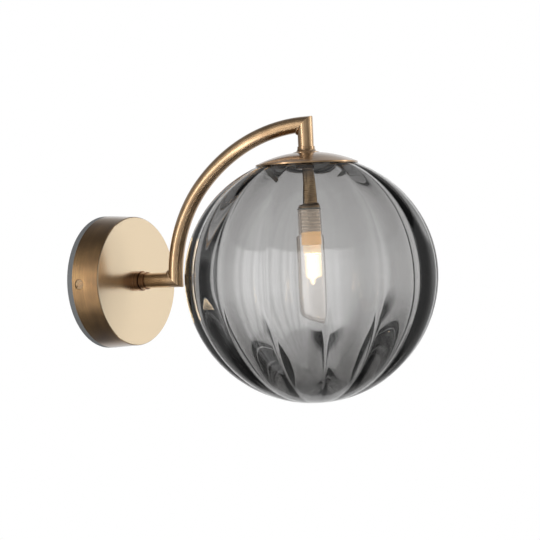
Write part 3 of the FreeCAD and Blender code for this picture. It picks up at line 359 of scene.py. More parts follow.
def grid_faces(rows: int, columns: int, wraps_along: bool) -> np.ndarray:
    """Corner numbers of the quads of a grid that closes round its columns.

    Args:
        rows: number of rows.
        columns: number of points round each row.
        wraps_along: whether the last row joins the first.

    Returns:
        An array of four corner numbers per quad.
    """
    i = np.arange(rows if wraps_along else rows - 1)[:, None]
    j = np.arange(columns)[None, :]
    ahead, beside = (i + 1) % rows, (j + 1) % columns
    corners = [i * columns + j, i * columns + beside, ahead * columns + beside, ahead * columns + j]
    return np.stack(np.broadcast_arrays(*corners), axis=-1).reshape(-1, 4)


@dataclass
class Shell:
    """One closed surface: a grid of points, closed round, with its ends joined or drawn to a point.

    brush holds, for each point, where it lies round and along the piece, for marks that follow its length.
    """

    points: np.ndarray
    joined: bool = False
    brush: np.ndarray | None = None

    def mesh_arrays(self) -> tuple[np.ndarray, list]:
        """Vertices and faces of the shell, where an end row that isn't joined gets a point at its middle.

        Returns:
            The vertices, and the corner numbers of each face.
        """
        rows, columns, _ = self.points.shape
        faces = grid_faces(rows, columns, self.joined).tolist()
        if not self.joined:
            first, last = rows * columns, rows * columns + 1
            around = np.arange(columns)
            beside = (around + 1) % columns
            top = (rows - 1) * columns
            faces += np.stack([beside, around, np.full(columns, first)], axis=-1).tolist()
            faces += np.stack([top + around, top + beside, np.full(columns, last)], axis=-1).tolist()
        return self.per_vertex(self.points), faces

    def per_vertex(self, grid: np.ndarray) -> np.ndarray:
        """Rows of a grid's values, one per vertex, where an end row's middle gets that row's mean."""
        flat = grid.reshape(-1, 3)
        return flat if self.joined else np.vstack([flat, grid[0].mean(axis=0), grid[-1].mean(axis=0)])


def make_piece(name: str, shells: list[Shell], material: Material) -> Object:
    """Make one object out of closed shells.

    Args:
        name: the object's name.
        shells: its closed surfaces.
        material: its finish.

    Returns:
        The new object, at the origin.
    """
    vertices, faces, start = [], [], 0
    for shell in shells:
        points, corners = shell.mesh_arrays()
        vertices.append(points)
        faces += [[start + corner for corner in face] for face in corners]
        start += len(points)
    mesh = bpy.data.meshes.new(name)
    mesh.from_pydata(np.vstack(vertices).tolist(), [], faces)
    mesh.shade_smooth()
    mesh.set_sharp_from_angle(angle=math.radians(CREASE))
    mesh.materials.append(material)
    mesh.validate()
    if all(shell.brush is not None for shell in shells):
        marks = mesh.attributes.new(BRUSH, "FLOAT_VECTOR", "POINT")
        brush = np.vstack([shell.per_vertex(shell.brush) for shell in shells])
        marks.data.foreach_set("vector", brush.ravel())
    piece = bpy.data.objects.new(name, mesh)
    bpy.context.scene.collection.objects.link(piece)
    return piece


def turned(profile: np.ndarray, axis_out: float, columns: int) -> np.ndarray:
    """Turn a profile about the drop axis.

    Each profile row (radius, height) becomes a circle: x = radius cos a, y = radius sin a - axis_out and
    z = height.

    Args:
        profile: radius and height per row.
        axis_out: the axis' distance from the wall.
        columns: points round each row.

    Returns:
        Points, rows by columns by 3.
    """
    angle = round_angles(columns)
    radius, height = profile[:, :1], profile[:, 1:]
    x = radius * np.cos(angle)
    y = radius * np.sin(angle) - axis_out
    return np.stack([x, y, np.broadcast_to(height, x.shape)], axis=-1)


def arc_points(
    centre: tuple[float, float], radius: float, first: float, last: float, count: int,
) -> np.ndarray:
    """Points of a circle's arc: centre + radius (cos a, sin a), with a from first to last in degrees."""
    angle = np.radians(np.linspace(first, last, count))[:, None]
    return np.array(centre) + radius * np.hstack([np.cos(angle), np.sin(angle)])


def tube_along(
    path: np.ndarray, radius: float | np.ndarray, columns: int, heading: np.ndarray | None = None,
    fixed: tuple[float, float, float] = (0.36, 0.48, 0.8),
) -> np.ndarray:
    """Carry a circle along a path.

    Each point of the path gets a circle square to its heading. The circle's two directions come from the
    heading crossed with one fixed direction, so the tube doesn't twist.

    Args:
        path: points of the middle line.
        radius: the tube's radius, or one for each point of the path.
        columns: points round the tube.
        heading: the path's direction at each point, where it is known exactly.
        fixed: the direction that the circles are built from.

    Returns:
        Points, rows by columns by 3.
    """
    if heading is None:
        heading = np.gradient(path, axis=0)
    heading = heading / np.linalg.norm(heading, axis=1, keepdims=True)
    side = np.cross(heading, np.array(fixed))
    side /= np.linalg.norm(side, axis=1, keepdims=True)
    other = np.cross(heading, side)
    angle = round_angles(columns)[..., None]
    reach = np.broadcast_to(radius, len(path))[:, None, None]
    return path[:, None] + reach * (np.cos(angle) * side[:, None] + np.sin(angle) * other[:, None])


def cut_end(ring: np.ndarray, heading: np.ndarray, through: np.ndarray, normal: np.ndarray) -> np.ndarray:
    """Slide the points of a tube's end along its heading until they lie in a cutting plane.

    Args:
        ring: points of the end.
        heading: the tube's direction there.
        through: a point of the plane.
        normal: the plane's normal.

    Returns:
        The moved points.
    """
    way = (through - ring) @ normal / (heading @ normal)
    return ring + way[:, None] * heading


# The light's pieces


@dataclass
class GlassGlobe:
    """Mould-blown globe: ribs outside and, unevenly, inside, a round mouth and a ground lip at the top."""

    axis_out: float
    centre: float
    radius: float = 100 * MM
    upper: float = 95.4 * MM  # from the widest row to the pole above, if there were no mouth
    lower: float = 99.6 * MM  # from the widest row to the pole below
    wall: float = 4.2 * MM
    ribs: int = 14
    rib_depth: float = 2.8 * MM
    inner_depth: float = 2.8 * MM
    bottom_extra: float = 3.0 * MM  # glass added at the bottom, upwards
    foot_depth: float = 3.0 * MM  # depth added to the ribs outside at the bottom
    foot_wall: float = 3.4 * MM  # glass added round the bottom, inwards
    foot_start: float = 0.1  # latitude below the middle where the bottom's form starts, in radians
    foot_span: float = 0.75  # radians until it is full
    follow: float = 0.35  # share of their depth that the ribs inside have, before it swings
    uneven: float = 0.6  # how far that share swings round the globe, held between 0 and 1
    rib_phase: float = 10.8  # degrees from +X to a valley
    oval_turn: float = 208.0  # degrees from +X to where the ribs inside are deepest
    outer_valley: float = 0.10  # the round's share of half a rib, outside
    inner_valley: float = 0.16  # and inside
    mouth: float = 32 * MM
    mouth_fade: float = 0.6  # radians below the mouth until the ribs inside have their depth
    lip: float = 88.4 * MM
    pole: float = 0.4995 * math.pi  # latitude of the end rows, just short of the poles
    columns: int = 364
    rows: int = 120

    def rib_radius(self, angle: np.ndarray, crest: float, depth: float, share: float) -> np.ndarray:
        """Radius of the equator at an angle.

        Within a rib, u runs from -1 to 1 and the radius is the crest less the rib's depth times u squared.
        Near a valley the parabola is turned over, so that neighbours meet in a round.

        Args:
            angle: angles in radians.
            crest: radius at a rib's middle.
            depth: how deep the valleys are.
            share: the round's share of half a rib.

        Returns:
            Radii in metres.
        """
        pitch = 2 * math.pi / self.ribs
        turn = (angle - math.radians(self.rib_phase)) / pitch
        u = np.abs(2 * (turn - np.floor(turn)) - 1)
        valley = (1 - share) - (1 - share) / share * (1 - u) ** 2
        return crest - depth * np.where(u < 1 - share, u ** 2, valley)

    def foot(self, latitude: np.ndarray) -> np.ndarray:
        """Share of the bottom's form at a latitude: 0 above foot_start, eased to 1 over foot_span."""
        return eased((-latitude - self.foot_start) / self.foot_span)

    def points(self) -> np.ndarray:
        """Rows from the outer pole up to the lip, over it and down inside to the inner pole.

        A row at latitude b is the ribbed plan times cos b, at height (upper or lower) times sin b. Towards
        the bottom the ribs outside get deeper and the wall thicker. The ribs inside are rounder, and their
        depth is multiplied by (follow + uneven cos 2(a - turn)), held between 0 and 1, as the inside of blown
        glass follows its mould unevenly. They fade to a circle at the mouth and at the bottom.

        Returns:
            Points, rows by columns by 3.
        """
        angle = round_angles(self.columns)
        lip_latitude = math.asin(self.lip / self.upper)
        latitude = np.linspace(-self.pole, lip_latitude, self.rows)[:, None]
        depth = self.rib_depth + self.foot_depth * self.foot(latitude)
        reach = self.rib_radius(angle, self.radius, depth, self.outer_valley) * np.cos(latitude)
        height = np.where(latitude > 0, self.upper, self.lower) * np.sin(latitude) + 0 * reach
        inner_radius = self.radius - self.wall
        mouth_latitude = math.acos(self.mouth / inner_radius)
        inner_latitude = np.linspace(mouth_latitude, -self.pole, self.rows)[:, None]
        ribbed = self.rib_radius(angle, inner_radius, self.inner_depth, self.inner_valley) - inner_radius
        low = self.foot(inner_latitude)
        even = self.follow + self.uneven * np.cos(2 * (angle - math.radians(self.oval_turn)))
        below_mouth = np.clip((mouth_latitude - inner_latitude) / self.mouth_fade, 0, 1)
        fade = below_mouth * (1 - low) * np.clip(even, 0, 1)
        inner_reach = (inner_radius + ribbed * fade - self.foot_wall * low) * np.cos(inner_latitude)
        inner_tall = np.where(inner_latitude > 0, self.upper, self.lower - self.bottom_extra) - self.wall
        inner_height = inner_tall * np.sin(inner_latitude) + 0 * angle
        edge = np.full((1, self.columns), self.mouth)
        lip = np.full((1, self.columns), self.lip)
        reach = np.vstack([reach, edge, inner_reach])
        height = np.vstack([height, lip, inner_height]) + self.centre
        return np.stack([reach * np.cos(angle), reach * np.sin(angle) - self.axis_out, height], axis=-1)

    def build(self, glass: Material) -> None:
        """Make the globe and put it in place of its plain solid.

        Args:
            glass: its finish.
        """
        globe = make_piece("globe_glass_ribbed", [Shell(self.points())], glass)
        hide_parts("globe")
        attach(globe, "globe_glass")
        LOG.info("globe: %d ribs, %.0f mm", self.ribs, 2 * self.radius / MM)


@dataclass
class BulbCover:
    """Clear tube with a screw neck: a helical ridge outside the neck, a plain bore and a rounded end."""

    axis_out: float
    centre: float
    top: float = 52.4 * MM
    bottom: float = -37.5 * MM
    radius: float = 11.2 * MM
    wall: float = 1.4 * MM
    bore: float = 8.0 * MM
    neck: float = 8.9 * MM
    ridge: float = 0.6 * MM
    pitch: float = 2.7 * MM
    turns: int = 7
    shoulder: float = 2.4 * MM
    rounding: float = 8.0 * MM
    bevel: float = 0.1 * MM
    pole: float = 0.2 * MM  # radius of the end rows
    ridge_fade: float = 0.8  # turns over which the ridge comes up and dies out
    shoulder_rows: int = 9
    round_rows: int = 14
    neck_rows: int = 90
    columns: int = 96

    def points(self) -> np.ndarray:
        """Rows from the outer bottom up to the rim and down inside.

        The neck's radius is neck + ridge (1 + cos(angle + 2 pi height / pitch)) / 2, faded at both ends.

        Returns:
            Points, rows by columns by 3.
        """
        neck_start = self.top - self.turns * self.pitch
        start = neck_start - self.shoulder
        turn_centre = (self.radius - self.rounding, self.bottom + self.rounding)
        share = np.linspace(0, 1, self.shoulder_rows)
        narrowing = self.radius - (self.radius - self.neck) * eased(share)
        outside = np.vstack([
            [[self.pole, self.bottom]],
            arc_points(turn_centre, self.rounding, -90, 0, self.round_rows),
            np.column_stack([narrowing, start + share * self.shoulder]),
        ])
        tall = np.linspace(neck_start, self.top, self.neck_rows)
        neck = np.column_stack([np.full(self.neck_rows, self.neck), tall])[1:]
        widening = self.bore + (self.radius - self.wall - self.bore) * eased(share)
        rim = self.top + self.bevel / 2
        inside = np.vstack([
            [[self.neck - self.bevel, rim], [self.bore + self.bevel, rim]],
            [[self.bore, self.top - self.bevel], [self.bore, neck_start]],
            np.column_stack([widening, neck_start - share * self.shoulder])[1:],
            arc_points(turn_centre, self.rounding - self.wall, 0, -90, self.round_rows),
            [[self.pole, self.bottom + self.wall]],
        ])
        profile = np.vstack([outside, neck, inside])
        points = turned(profile, self.axis_out, self.columns)
        angle = round_angles(self.columns)
        climb = neck[:, 1:] - neck_start
        fade = np.clip(np.minimum(climb, self.top - neck[:, 1:]) / (self.ridge_fade * self.pitch), 0, 1)
        lift = self.ridge * (0.5 + 0.5 * np.cos(angle + 2 * math.pi * climb / self.pitch)) * fade
        rows = slice(len(outside), len(outside) + len(neck))
        points[rows, :, 0] += lift * np.cos(angle)
        points[rows, :, 1] += lift * np.sin(angle)
        points[..., 2] += self.centre
        return points

    def build(self, glass: Material) -> None:
        """Make the tube and put it in place of its plain solid.

        Args:
            glass: its finish.
        """
        cover = make_piece("bulb_cover_screwed", [Shell(self.points())], glass)
        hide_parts("bulb_cover")
        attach(cover, "cover")
        LOG.info("cover: %d turns of %.1f mm", self.turns, self.pitch / MM)


@dataclass
class Bulb:
    """Pin-base capsule bulb: a sealed glass capsule with a pinched tip, and a coiled filament."""

    axis_out: float
    centre: float
    top: float = 18.3 * MM
    radius: float = 5.5 * MM
    straight: float = 17.5 * MM
    taper: float = 4.5 * MM
    nib: float = 3.0 * MM
    nib_radius: float = 2.2 * MM
    rounding: float = 1.2 * MM
    wall: float = 0.9 * MM
    pole: float = 0.05 * MM  # radius of the end rows
    coil_radius: float = 0.75 * MM
    coil_wire: float = 0.16 * MM
    coil_half: float = 1.7 * MM  # half the distance between the coil's two legs
    coil_length: float = 12.0 * MM
    coil_gap: float = 0.3 * MM  # from the capsule's inner top to the wire's ends
    coil_turns: int = 34
    turn_points: int = 12
    shoulder_rows: int = 14
    round_rows: int = 8
    columns: int = 64
    wire_columns: int = 8

    def profile(self, inset: float) -> np.ndarray:
        """Outline from the tip up: a rounded nib, an S-shaped shoulder and a straight wall with a round top.

        Args:
            inset: how far inside the outer surface the outline runs.

        Returns:
            Radius and height per row, from the tip to the top.
        """
        bottom = self.top - self.straight - self.taper - self.nib
        nib, radius = self.nib_radius - inset, self.radius - inset
        share = np.linspace(0, 1, self.shoulder_rows)
        shoulder = bottom + self.nib + share * self.taper
        turn_centre = (radius - self.rounding, self.top - inset - self.rounding)
        return np.vstack([
            [[self.pole, bottom + inset]],
            arc_points((0, bottom + inset + nib), nib, -80, 0, self.round_rows),
            np.column_stack([nib + (radius - nib) * eased(share), shoulder])[1:],
            arc_points(turn_centre, self.rounding, 0, 90, self.round_rows),
            [[self.pole, self.top - inset]],
        ])

    def coil(self) -> np.ndarray:
        """Path of the filament: a helix round a U that hangs from the capsule's top.

        The U is two straight legs and a half circle. Round it the helix adds coil_radius (cos t, sin t),
        across and along the wall axis, with t running through all turns.

        Returns:
            Points of the path.
        """
        share = np.linspace(0, 1, self.coil_turns * self.turn_points)
        leg = self.coil_length - self.coil_half
        bend = math.pi * self.coil_half
        way = share * (2 * leg + bend)
        turn = np.clip((way - leg) / self.coil_half, 0, math.pi)
        x = -self.coil_half * np.cos(turn)
        drop = np.minimum(way, leg) - np.clip(way - leg - bend, 0, None) + self.coil_half * np.sin(turn)
        wind = 2 * math.pi * self.coil_turns * share
        out = self.coil_radius * np.cos(wind)
        side = self.coil_radius * np.sin(wind)
        top = self.top - self.wall - self.coil_gap
        return np.column_stack([
            x + out * np.cos(turn), side - self.axis_out, top - drop - out * np.sin(turn) + self.centre,
        ])

    def build(self, glass: Material, wire: Material) -> None:
        """Make the capsule and its filament, and put them in place of their plain solids.

        Args:
            glass: the capsule's finish.
            wire: the filament's finish.
        """
        outer, inner = self.profile(0.0), self.profile(self.wall)
        outer[:, 1] += self.centre
        inner[:, 1] += self.centre
        shells = [Shell(turned(outline, self.axis_out, self.columns)) for outline in (outer, inner[::-1])]
        capsule = make_piece("bulb_capsule_blown", shells, glass)
        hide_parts("bulb_capsule")
        thread = tube_along(self.coil(), self.coil_wire, self.wire_columns)
        filament = make_piece("bulb_filament_coil", [Shell(thread)], wire)
        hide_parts("bulb_filament")
        for piece in (capsule, filament):
            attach(piece, "bulb")
        LOG.info("bulb: coil of %d turns", self.coil_turns)


@dataclass
class Arm:
    """The three brass tubes: straight arm, bent tube and drop, mitred and brazed at both corners."""

    drop_out: float
    drop_end: float
    start: float = 35.4 * MM
    reach: float = 69.5 * MM
    lower_radius: float = 109.7 * MM
    upper_radius: float = 139.8 * MM
    radius: float = 6.2 * MM
    wall: float = 1.2 * MM
    fillet: float = 1.7 * MM
    bead_angles: tuple[float, float] = (196.0, 344.0)  # where the bead starts and ends round the joint
    bead_out: float = 0.25  # how far outside the tube its middle runs, in fillets
    bead_end: float = 0.02  # the least swell, so that its ends keep some thickness
    bead_swell: float = 0.7  # a power under 1 keeps it thick for longer
    bead_rows: int = 41
    bead_columns: int = 16
    lower_rows: int = 40
    upper_rows: int = 50
    columns: int = 72

    def arc_path(self) -> tuple[np.ndarray, np.ndarray]:
        """Points and headings of the bent tube: 45 degrees of the smaller circle, then 45 of the larger.

        Returns:
            The middle line's points, and its direction at each.
        """
        rise = self.lower_radius * math.sqrt(0.5) + self.upper_radius * (1 - math.sqrt(0.5))
        low_centre = (self.reach + self.lower_radius, 0)
        top_centre = (self.drop_out, rise - self.upper_radius)
        lower = arc_points(low_centre, self.lower_radius, 180, 135, self.lower_rows)
        upper = arc_points(top_centre, self.upper_radius, 135, 90, self.upper_rows)
        line = np.vstack([lower, upper[1:]])
        low_turn = np.linspace(180, 135, self.lower_rows)
        top_turn = np.linspace(135, 90, self.upper_rows)
        turn = np.radians(np.concatenate([low_turn, top_turn[1:]]))
        path = np.column_stack([np.zeros(len(line)), -line[:, 0], line[:, 1]])
        heading = np.column_stack([np.zeros(len(line)), -np.sin(turn), -np.cos(turn)])
        return path, heading

    def tube(self, path: np.ndarray, heading: np.ndarray, cuts: list) -> Shell:
        """One open tube: its outside, then its bore back again, joined at both ends.

        Args:
            path: the middle line.
            heading: its directions.
            cuts: for the first and the last end, the normal of the mitre's plane, or None for a square end.

        Returns:
            The tube's shell.
        """
        skins = []
        for radius in (self.radius, self.radius - self.wall):
            skin = tube_along(path, radius, self.columns, heading, (1.0, 0.0, 0.0))
            for row, normal in zip((0, -1), cuts):
                if normal is not None:
                    skin[row] = cut_end(skin[row], heading[row], path[row], normal)
            skins.append(skin)
        points = np.concatenate([skins[0], skins[1][::-1]])
        steps = np.linalg.norm(np.diff(path, axis=0), axis=1)
        along = np.concatenate([[0], np.cumsum(steps)])
        along = np.concatenate([along, along[::-1]])[:, None]
        angle = round_angles(self.columns)
        across = [self.radius * np.cos(angle), self.radius * np.sin(angle)]
        marks = np.broadcast_arrays(*across, along)
        return Shell(points, joined=True, brush=np.stack(marks, axis=-1))

    def braze(self, corner: np.ndarray, lean: float) -> Shell:
        """Fillet of braze in a mitre's inner corner: a bead along the joint, thickest in the corner's middle.

        The joint is the ellipse x = r cos t, out = r sin t, height = lean r sin t round the corner.

        Args:
            corner: where the two middle lines meet.
            lean: 1 where out and height grow together along the joint, -1 where one falls.

        Returns:
            The fillet's shell.
        """
        turn = np.radians(np.linspace(*self.bead_angles, self.bead_rows))
        reach = self.radius + self.bead_out * self.fillet
        path = np.column_stack([
            corner[0] + reach * np.cos(turn), corner[1] - reach * np.sin(turn),
            corner[2] + lean * reach * np.sin(turn),
        ])
        swell = np.sin(np.linspace(0, math.pi, self.bead_rows))
        depth = self.fillet * np.clip(swell, self.bead_end, 1) ** self.bead_swell
        points = tube_along(path, depth, self.bead_columns, fixed=(0.0, 0.7, -0.7 * lean))
        share = np.linspace(0, 1, self.bead_rows)[:, None] + np.zeros((1, self.bead_columns))
        return Shell(points, brush=np.stack([self.radius * share, 0 * share, 0 * share], axis=-1))

    def build(self, brass: Material) -> None:
        """Make the three tubes and the two fillets, and put the tubes in place of their plain solids.

        Args:
            brass: the finish of all of them.
        """
        path, heading = self.arc_path()
        low_mitre, top_mitre = np.array([0.0, -0.7, 0.7]), np.array([0.0, -0.7, -0.7])
        out, down = np.array([0.0, -1.0, 0.0]), np.array([0.0, 0.0, -1.0])
        arm = np.linspace([0, -self.start, 0], [0, -self.reach, 0], 2)
        drop = np.linspace(path[-1], [0, -self.drop_out, self.drop_end], 2)
        pieces = {
            "arm_tube": self.tube(arm, np.array([out, out]), [None, low_mitre]),
            "arc_tube": self.tube(path, heading, [low_mitre, top_mitre]),
            "drop_tube": self.tube(drop, np.array([down, down]), [top_mitre, None]),
        }
        for node, shell in pieces.items():
            piece = make_piece(f"{node}_brushed", [shell], brass)
            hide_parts(node)
            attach(piece, "fixture")
        beads = [self.braze(path[0], -1.0), self.braze(path[-1], 1.0)]
        fillets = make_piece("brazed_fillets", beads, brass)
        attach(fillets, "fixture")
        length = np.linalg.norm(np.diff(path, axis=0), axis=1).sum()
        LOG.info("arm: bent tube of %.0f mm", length / MM)


def dress_nodes(nodes: dict[str, Object], groups: dict[str, Material]) -> None:
    """Put each finish in all the material slots of its solid.

    Args:
        nodes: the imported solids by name.
        groups: the finish for each name.
    """
    for name, finish in groups.items():
        for place in nodes[name].material_slots:
            place.material = finish


@dataclass
class Metalwork:
    """The brass and steel pieces, which keep their solids and get their finish."""

    nodes: dict[str, Object]
    drop_out: float
    face_start: float = -29.6 * MM  # just behind the canopy's front face

    def dress(self) -> None:
        """Give each solid its finish."""
        on_drop = {"lay": Lay.SPUN_ON_DROP, "drop_axis": -self.drop_out}
        # brass turned on a lathe: fine rings; its colours are painted paler than the rest's, a painted light
        # of the bulb beside it
        stem = AgedBrass("turned_brass_stem_painted_lit", dark="#B08C62", pale="#E4C294", **on_drop).build()
        # sheet spun over a former and brushed as it turned: rings round the drop, a soft broad sheen
        spun_dome = AgedBrass("spun_aged_brass", dark="#846749", pale="#B8966E", **on_drop).build()
        # the same brass painted as it mirrors its surround: the side darker brown, a painted shade, and the
        # front face pale champagne, a painted reflection
        spun_cup = AgedBrass(
            "spun_aged_brass_cup_painted_reflection", Lay.SPUN_ON_WALL, dark="#6E5133", pale="#A98557", face="#DDC8A8",
            face_start=self.face_start, roughness=0.22,
        ).build()
        # turned and aged darkest: a brown ring where the arm leaves the canopy
        turned_ring = AgedBrass("turned_aged_brass", Lay.SPUN_ON_WALL, dark="#6A4A30", pale="#A97C50").build()
        # small turned parts: the arm's colours with rings
        hardware = AgedBrass("turned_brass_hardware", **on_drop).build()
        # bright nickel, polished: a warm mirror round the lampholder
        sleeve = PlainFinish(
            "polished_nickel_plate", "#E8DCCB", "#D0BEA8", 0.12, metallic=1.0, grain=2 * MM
        ).build()
        # zinc on pressed steel: grey with a dull shine
        zinc = PlainFinish("zinc_plated_steel", "#B9B9B4", "#8E8F8C", 0.35, metallic=1.0).build()
        groups = {
            "canopy": spun_cup, "arm_collar": turned_ring, "cap_collar": spun_dome, "dome_cap": spun_dome,
            "inner_stem": stem,
            "canopy_screws": hardware, "terminal_tubes": hardware, "earth_tag": hardware,
            "arm_locknut": hardware, "cap_nut": hardware, "gallery_nut": hardware,
            "lampholder_cap": hardware, "lampholder_sleeve": sleeve,
            "arm_nipple": zinc, "arm_washer": zinc, "globe_gallery": zinc, "gallery_springs": zinc,
            "terminal_screws": zinc, "lampholder_contacts": zinc, "bulb_pins": zinc,
        }
        dress_nodes(self.nodes, groups)
        LOG.info("metalwork: %d solids dressed", len(groups))


@dataclass
class Insulators:
    """The plastic, ceramic, silicone and sheathed pieces, which keep their solids and get their finish."""

    nodes: dict[str, Object]

    def dress(self) -> None:
        """Give each solid its finish."""
        # polycarbonate from a spark-eroded mould: matt mid grey with a fine grain
        plate = PlainFinish("moulded_polycarbonate", "#5C5D5E", "#505254", 0.45, bump=0.2).build()
        # unfilled nylon: milky off-white, half matt
        block = PlainFinish("moulded_nylon", "#E4E0D4", "#D6D1C2", 0.5).build()
        # pressed steatite under a thin glaze, painted a bright warm tan with a glow: painted light of the
        # bulb beside it
        glaze = PlainFinish("glazed_steatite_painted_lit", "#E3B57C", "#D2A066", 0.35, coat=0.4, glow=0.9).build()
        # quartz pinched flat while hot: glassy, painted almost white with a glow, a painted light of the bulb
        pinch = PlainFinish("pressed_quartz_pinch_painted_lit", "#FFE8C6", "#F4D6A8", 0.2, coat=0.6, glow=0.8).build()
        # moulded silicone rubber: pale and matt
        rubber = PlainFinish("moulded_silicone", "#D8D4CA", "#C9C4B8", 0.6).build()
        # extruded sheaths with a dull shine, the earth's in green with yellow
        sheath = {
            "live_wire": PlainFinish("sheath_brown", "#5A3A28", "#4C3021", 0.45).build(),
            "neutral_wire": PlainFinish("sheath_blue", "#33548C", "#2B4878", 0.45).build(),
            "earth_wire": PlainFinish("sheath_green", "#5E8F3A", "#B9B23C", 0.45, grain=3 * MM).build(),
        }
        groups = {
            "wall_plate": plate, "terminal_block": block, "lampholder_ceramic": glaze, "bulb_base": pinch,
            "globe_gasket": rubber, "cover_seal": rubber, **sheath,
        }
        dress_nodes(self.nodes, groups)
        LOG.info("insulators: %d solids dressed", len(groups))


# Camera, light and surround

# Brightness of the surround as (place, level) stops. A name in AROUND goes by bearing: 0 and 1 are -X,
# 0.25 is -Y, 0.5 is +X and 0.75 is +Y. The others go by height: 0 is straight down, 0.5 the horizon and 1
# straight up. The levels are set for one view, and differ by kind of ray as no real room's do.
Stops = tuple[tuple[float, float], ...]

# What brushed and other rough gloss mirrors: two narrow bright windows in a plain room.
GLOSS_AROUND: Stops = (
    (0.0, 1.1), (0.03, 1.0), (0.06, 0.5), (0.11, 0.6), (0.20, 0.3), (0.24, 0.45), (0.28, 1.0), (0.335, 1.1),
    (0.34, 4.5), (0.362, 4.5), (0.367, 1.0), (0.45, 1.0), (0.55, 1.0), (0.60, 0.8), (0.66, 0.5), (0.80, 0.35),
    (0.87, 0.5), (0.925, 1.0), (0.93, 6.0), (0.952, 6.0), (0.957, 1.1), (1.0, 1.1),
)
GLOSS_HEIGHT: Stops = (
    (0.0, 0.45), (0.14, 0.5), (0.22, 0.9), (0.46, 1.0), (0.66, 1.0), (0.76, 0.6), (1.0, 0.4),
)
# What smooth glass mirrors. It gives back about a twenty-fifth, so its bright side is several times white.
SHARP_AROUND: Stops = (
    (0.0, 5.2), (0.012, 3.4), (0.024, 5.6), (0.04, 4.6), (0.052, 2.4), (0.064, 5.4), (0.085, 4.4),
    (0.10, 5.4), (0.125, 3.6), (0.15, 2.6), (0.19, 1.4), (0.24, 0.5), (0.28, 0.8), (0.42, 0.3),
    (0.50, 0.4), (0.56, 1.0), (0.62, 1.0), (0.68, 0.3), (0.80, 0.3), (0.85, 1.0), (0.89, 4.2),
    (0.91, 2.6), (0.93, 5.4), (0.96, 5.0), (0.975, 3.0), (0.988, 5.4), (1.0, 5.2),
)
SHARP_HEIGHT: Stops = ((0.0, 0.3), (0.12, 0.4), (0.17, 1.0), (0.70, 1.0), (0.73, 0.25), (1.0, 0.15))
# What shows through glass: white with dark flags, which refract into the bands along the ribs.
GLASS_AROUND: Stops = (
    (0.0, 1.0), (0.06, 0.5), (0.16, 0.4), (0.27, 0.8), (0.36, 1.0), (0.40, 1.0), (0.44, 0.3), (0.50, 0.1),
    (0.525, 0.02), (0.546, 0.02), (0.556, 1.0), (0.615, 1.0), (0.622, 0.02), (0.80, 0.02), (0.84, 1.0),
    (0.92, 1.0), (1.0, 1.0),
)
GLASS_HEIGHT: Stops = (
    (0.0, 0.9), (0.14, 0.8), (0.25, 0.5), (0.34, 0.4), (0.41, 1.0), (0.60, 1.0), (0.67, 0.5), (1.0, 0.5),
)
# How far GLASS_AROUND counts at a height. Above and below its flags GLASS_HEIGHT counts alone.
GLASS_LEVEL: Stops = ((0.0, 0.0), (0.20, 0.0), (0.27, 1.0), (0.56, 1.0), (0.60, 0.0), (1.0, 0.0))
MATT_LIGHT = 0.9  # what matt surfaces get from all sides
WHITE = 1.0  # what the camera sees behind the object


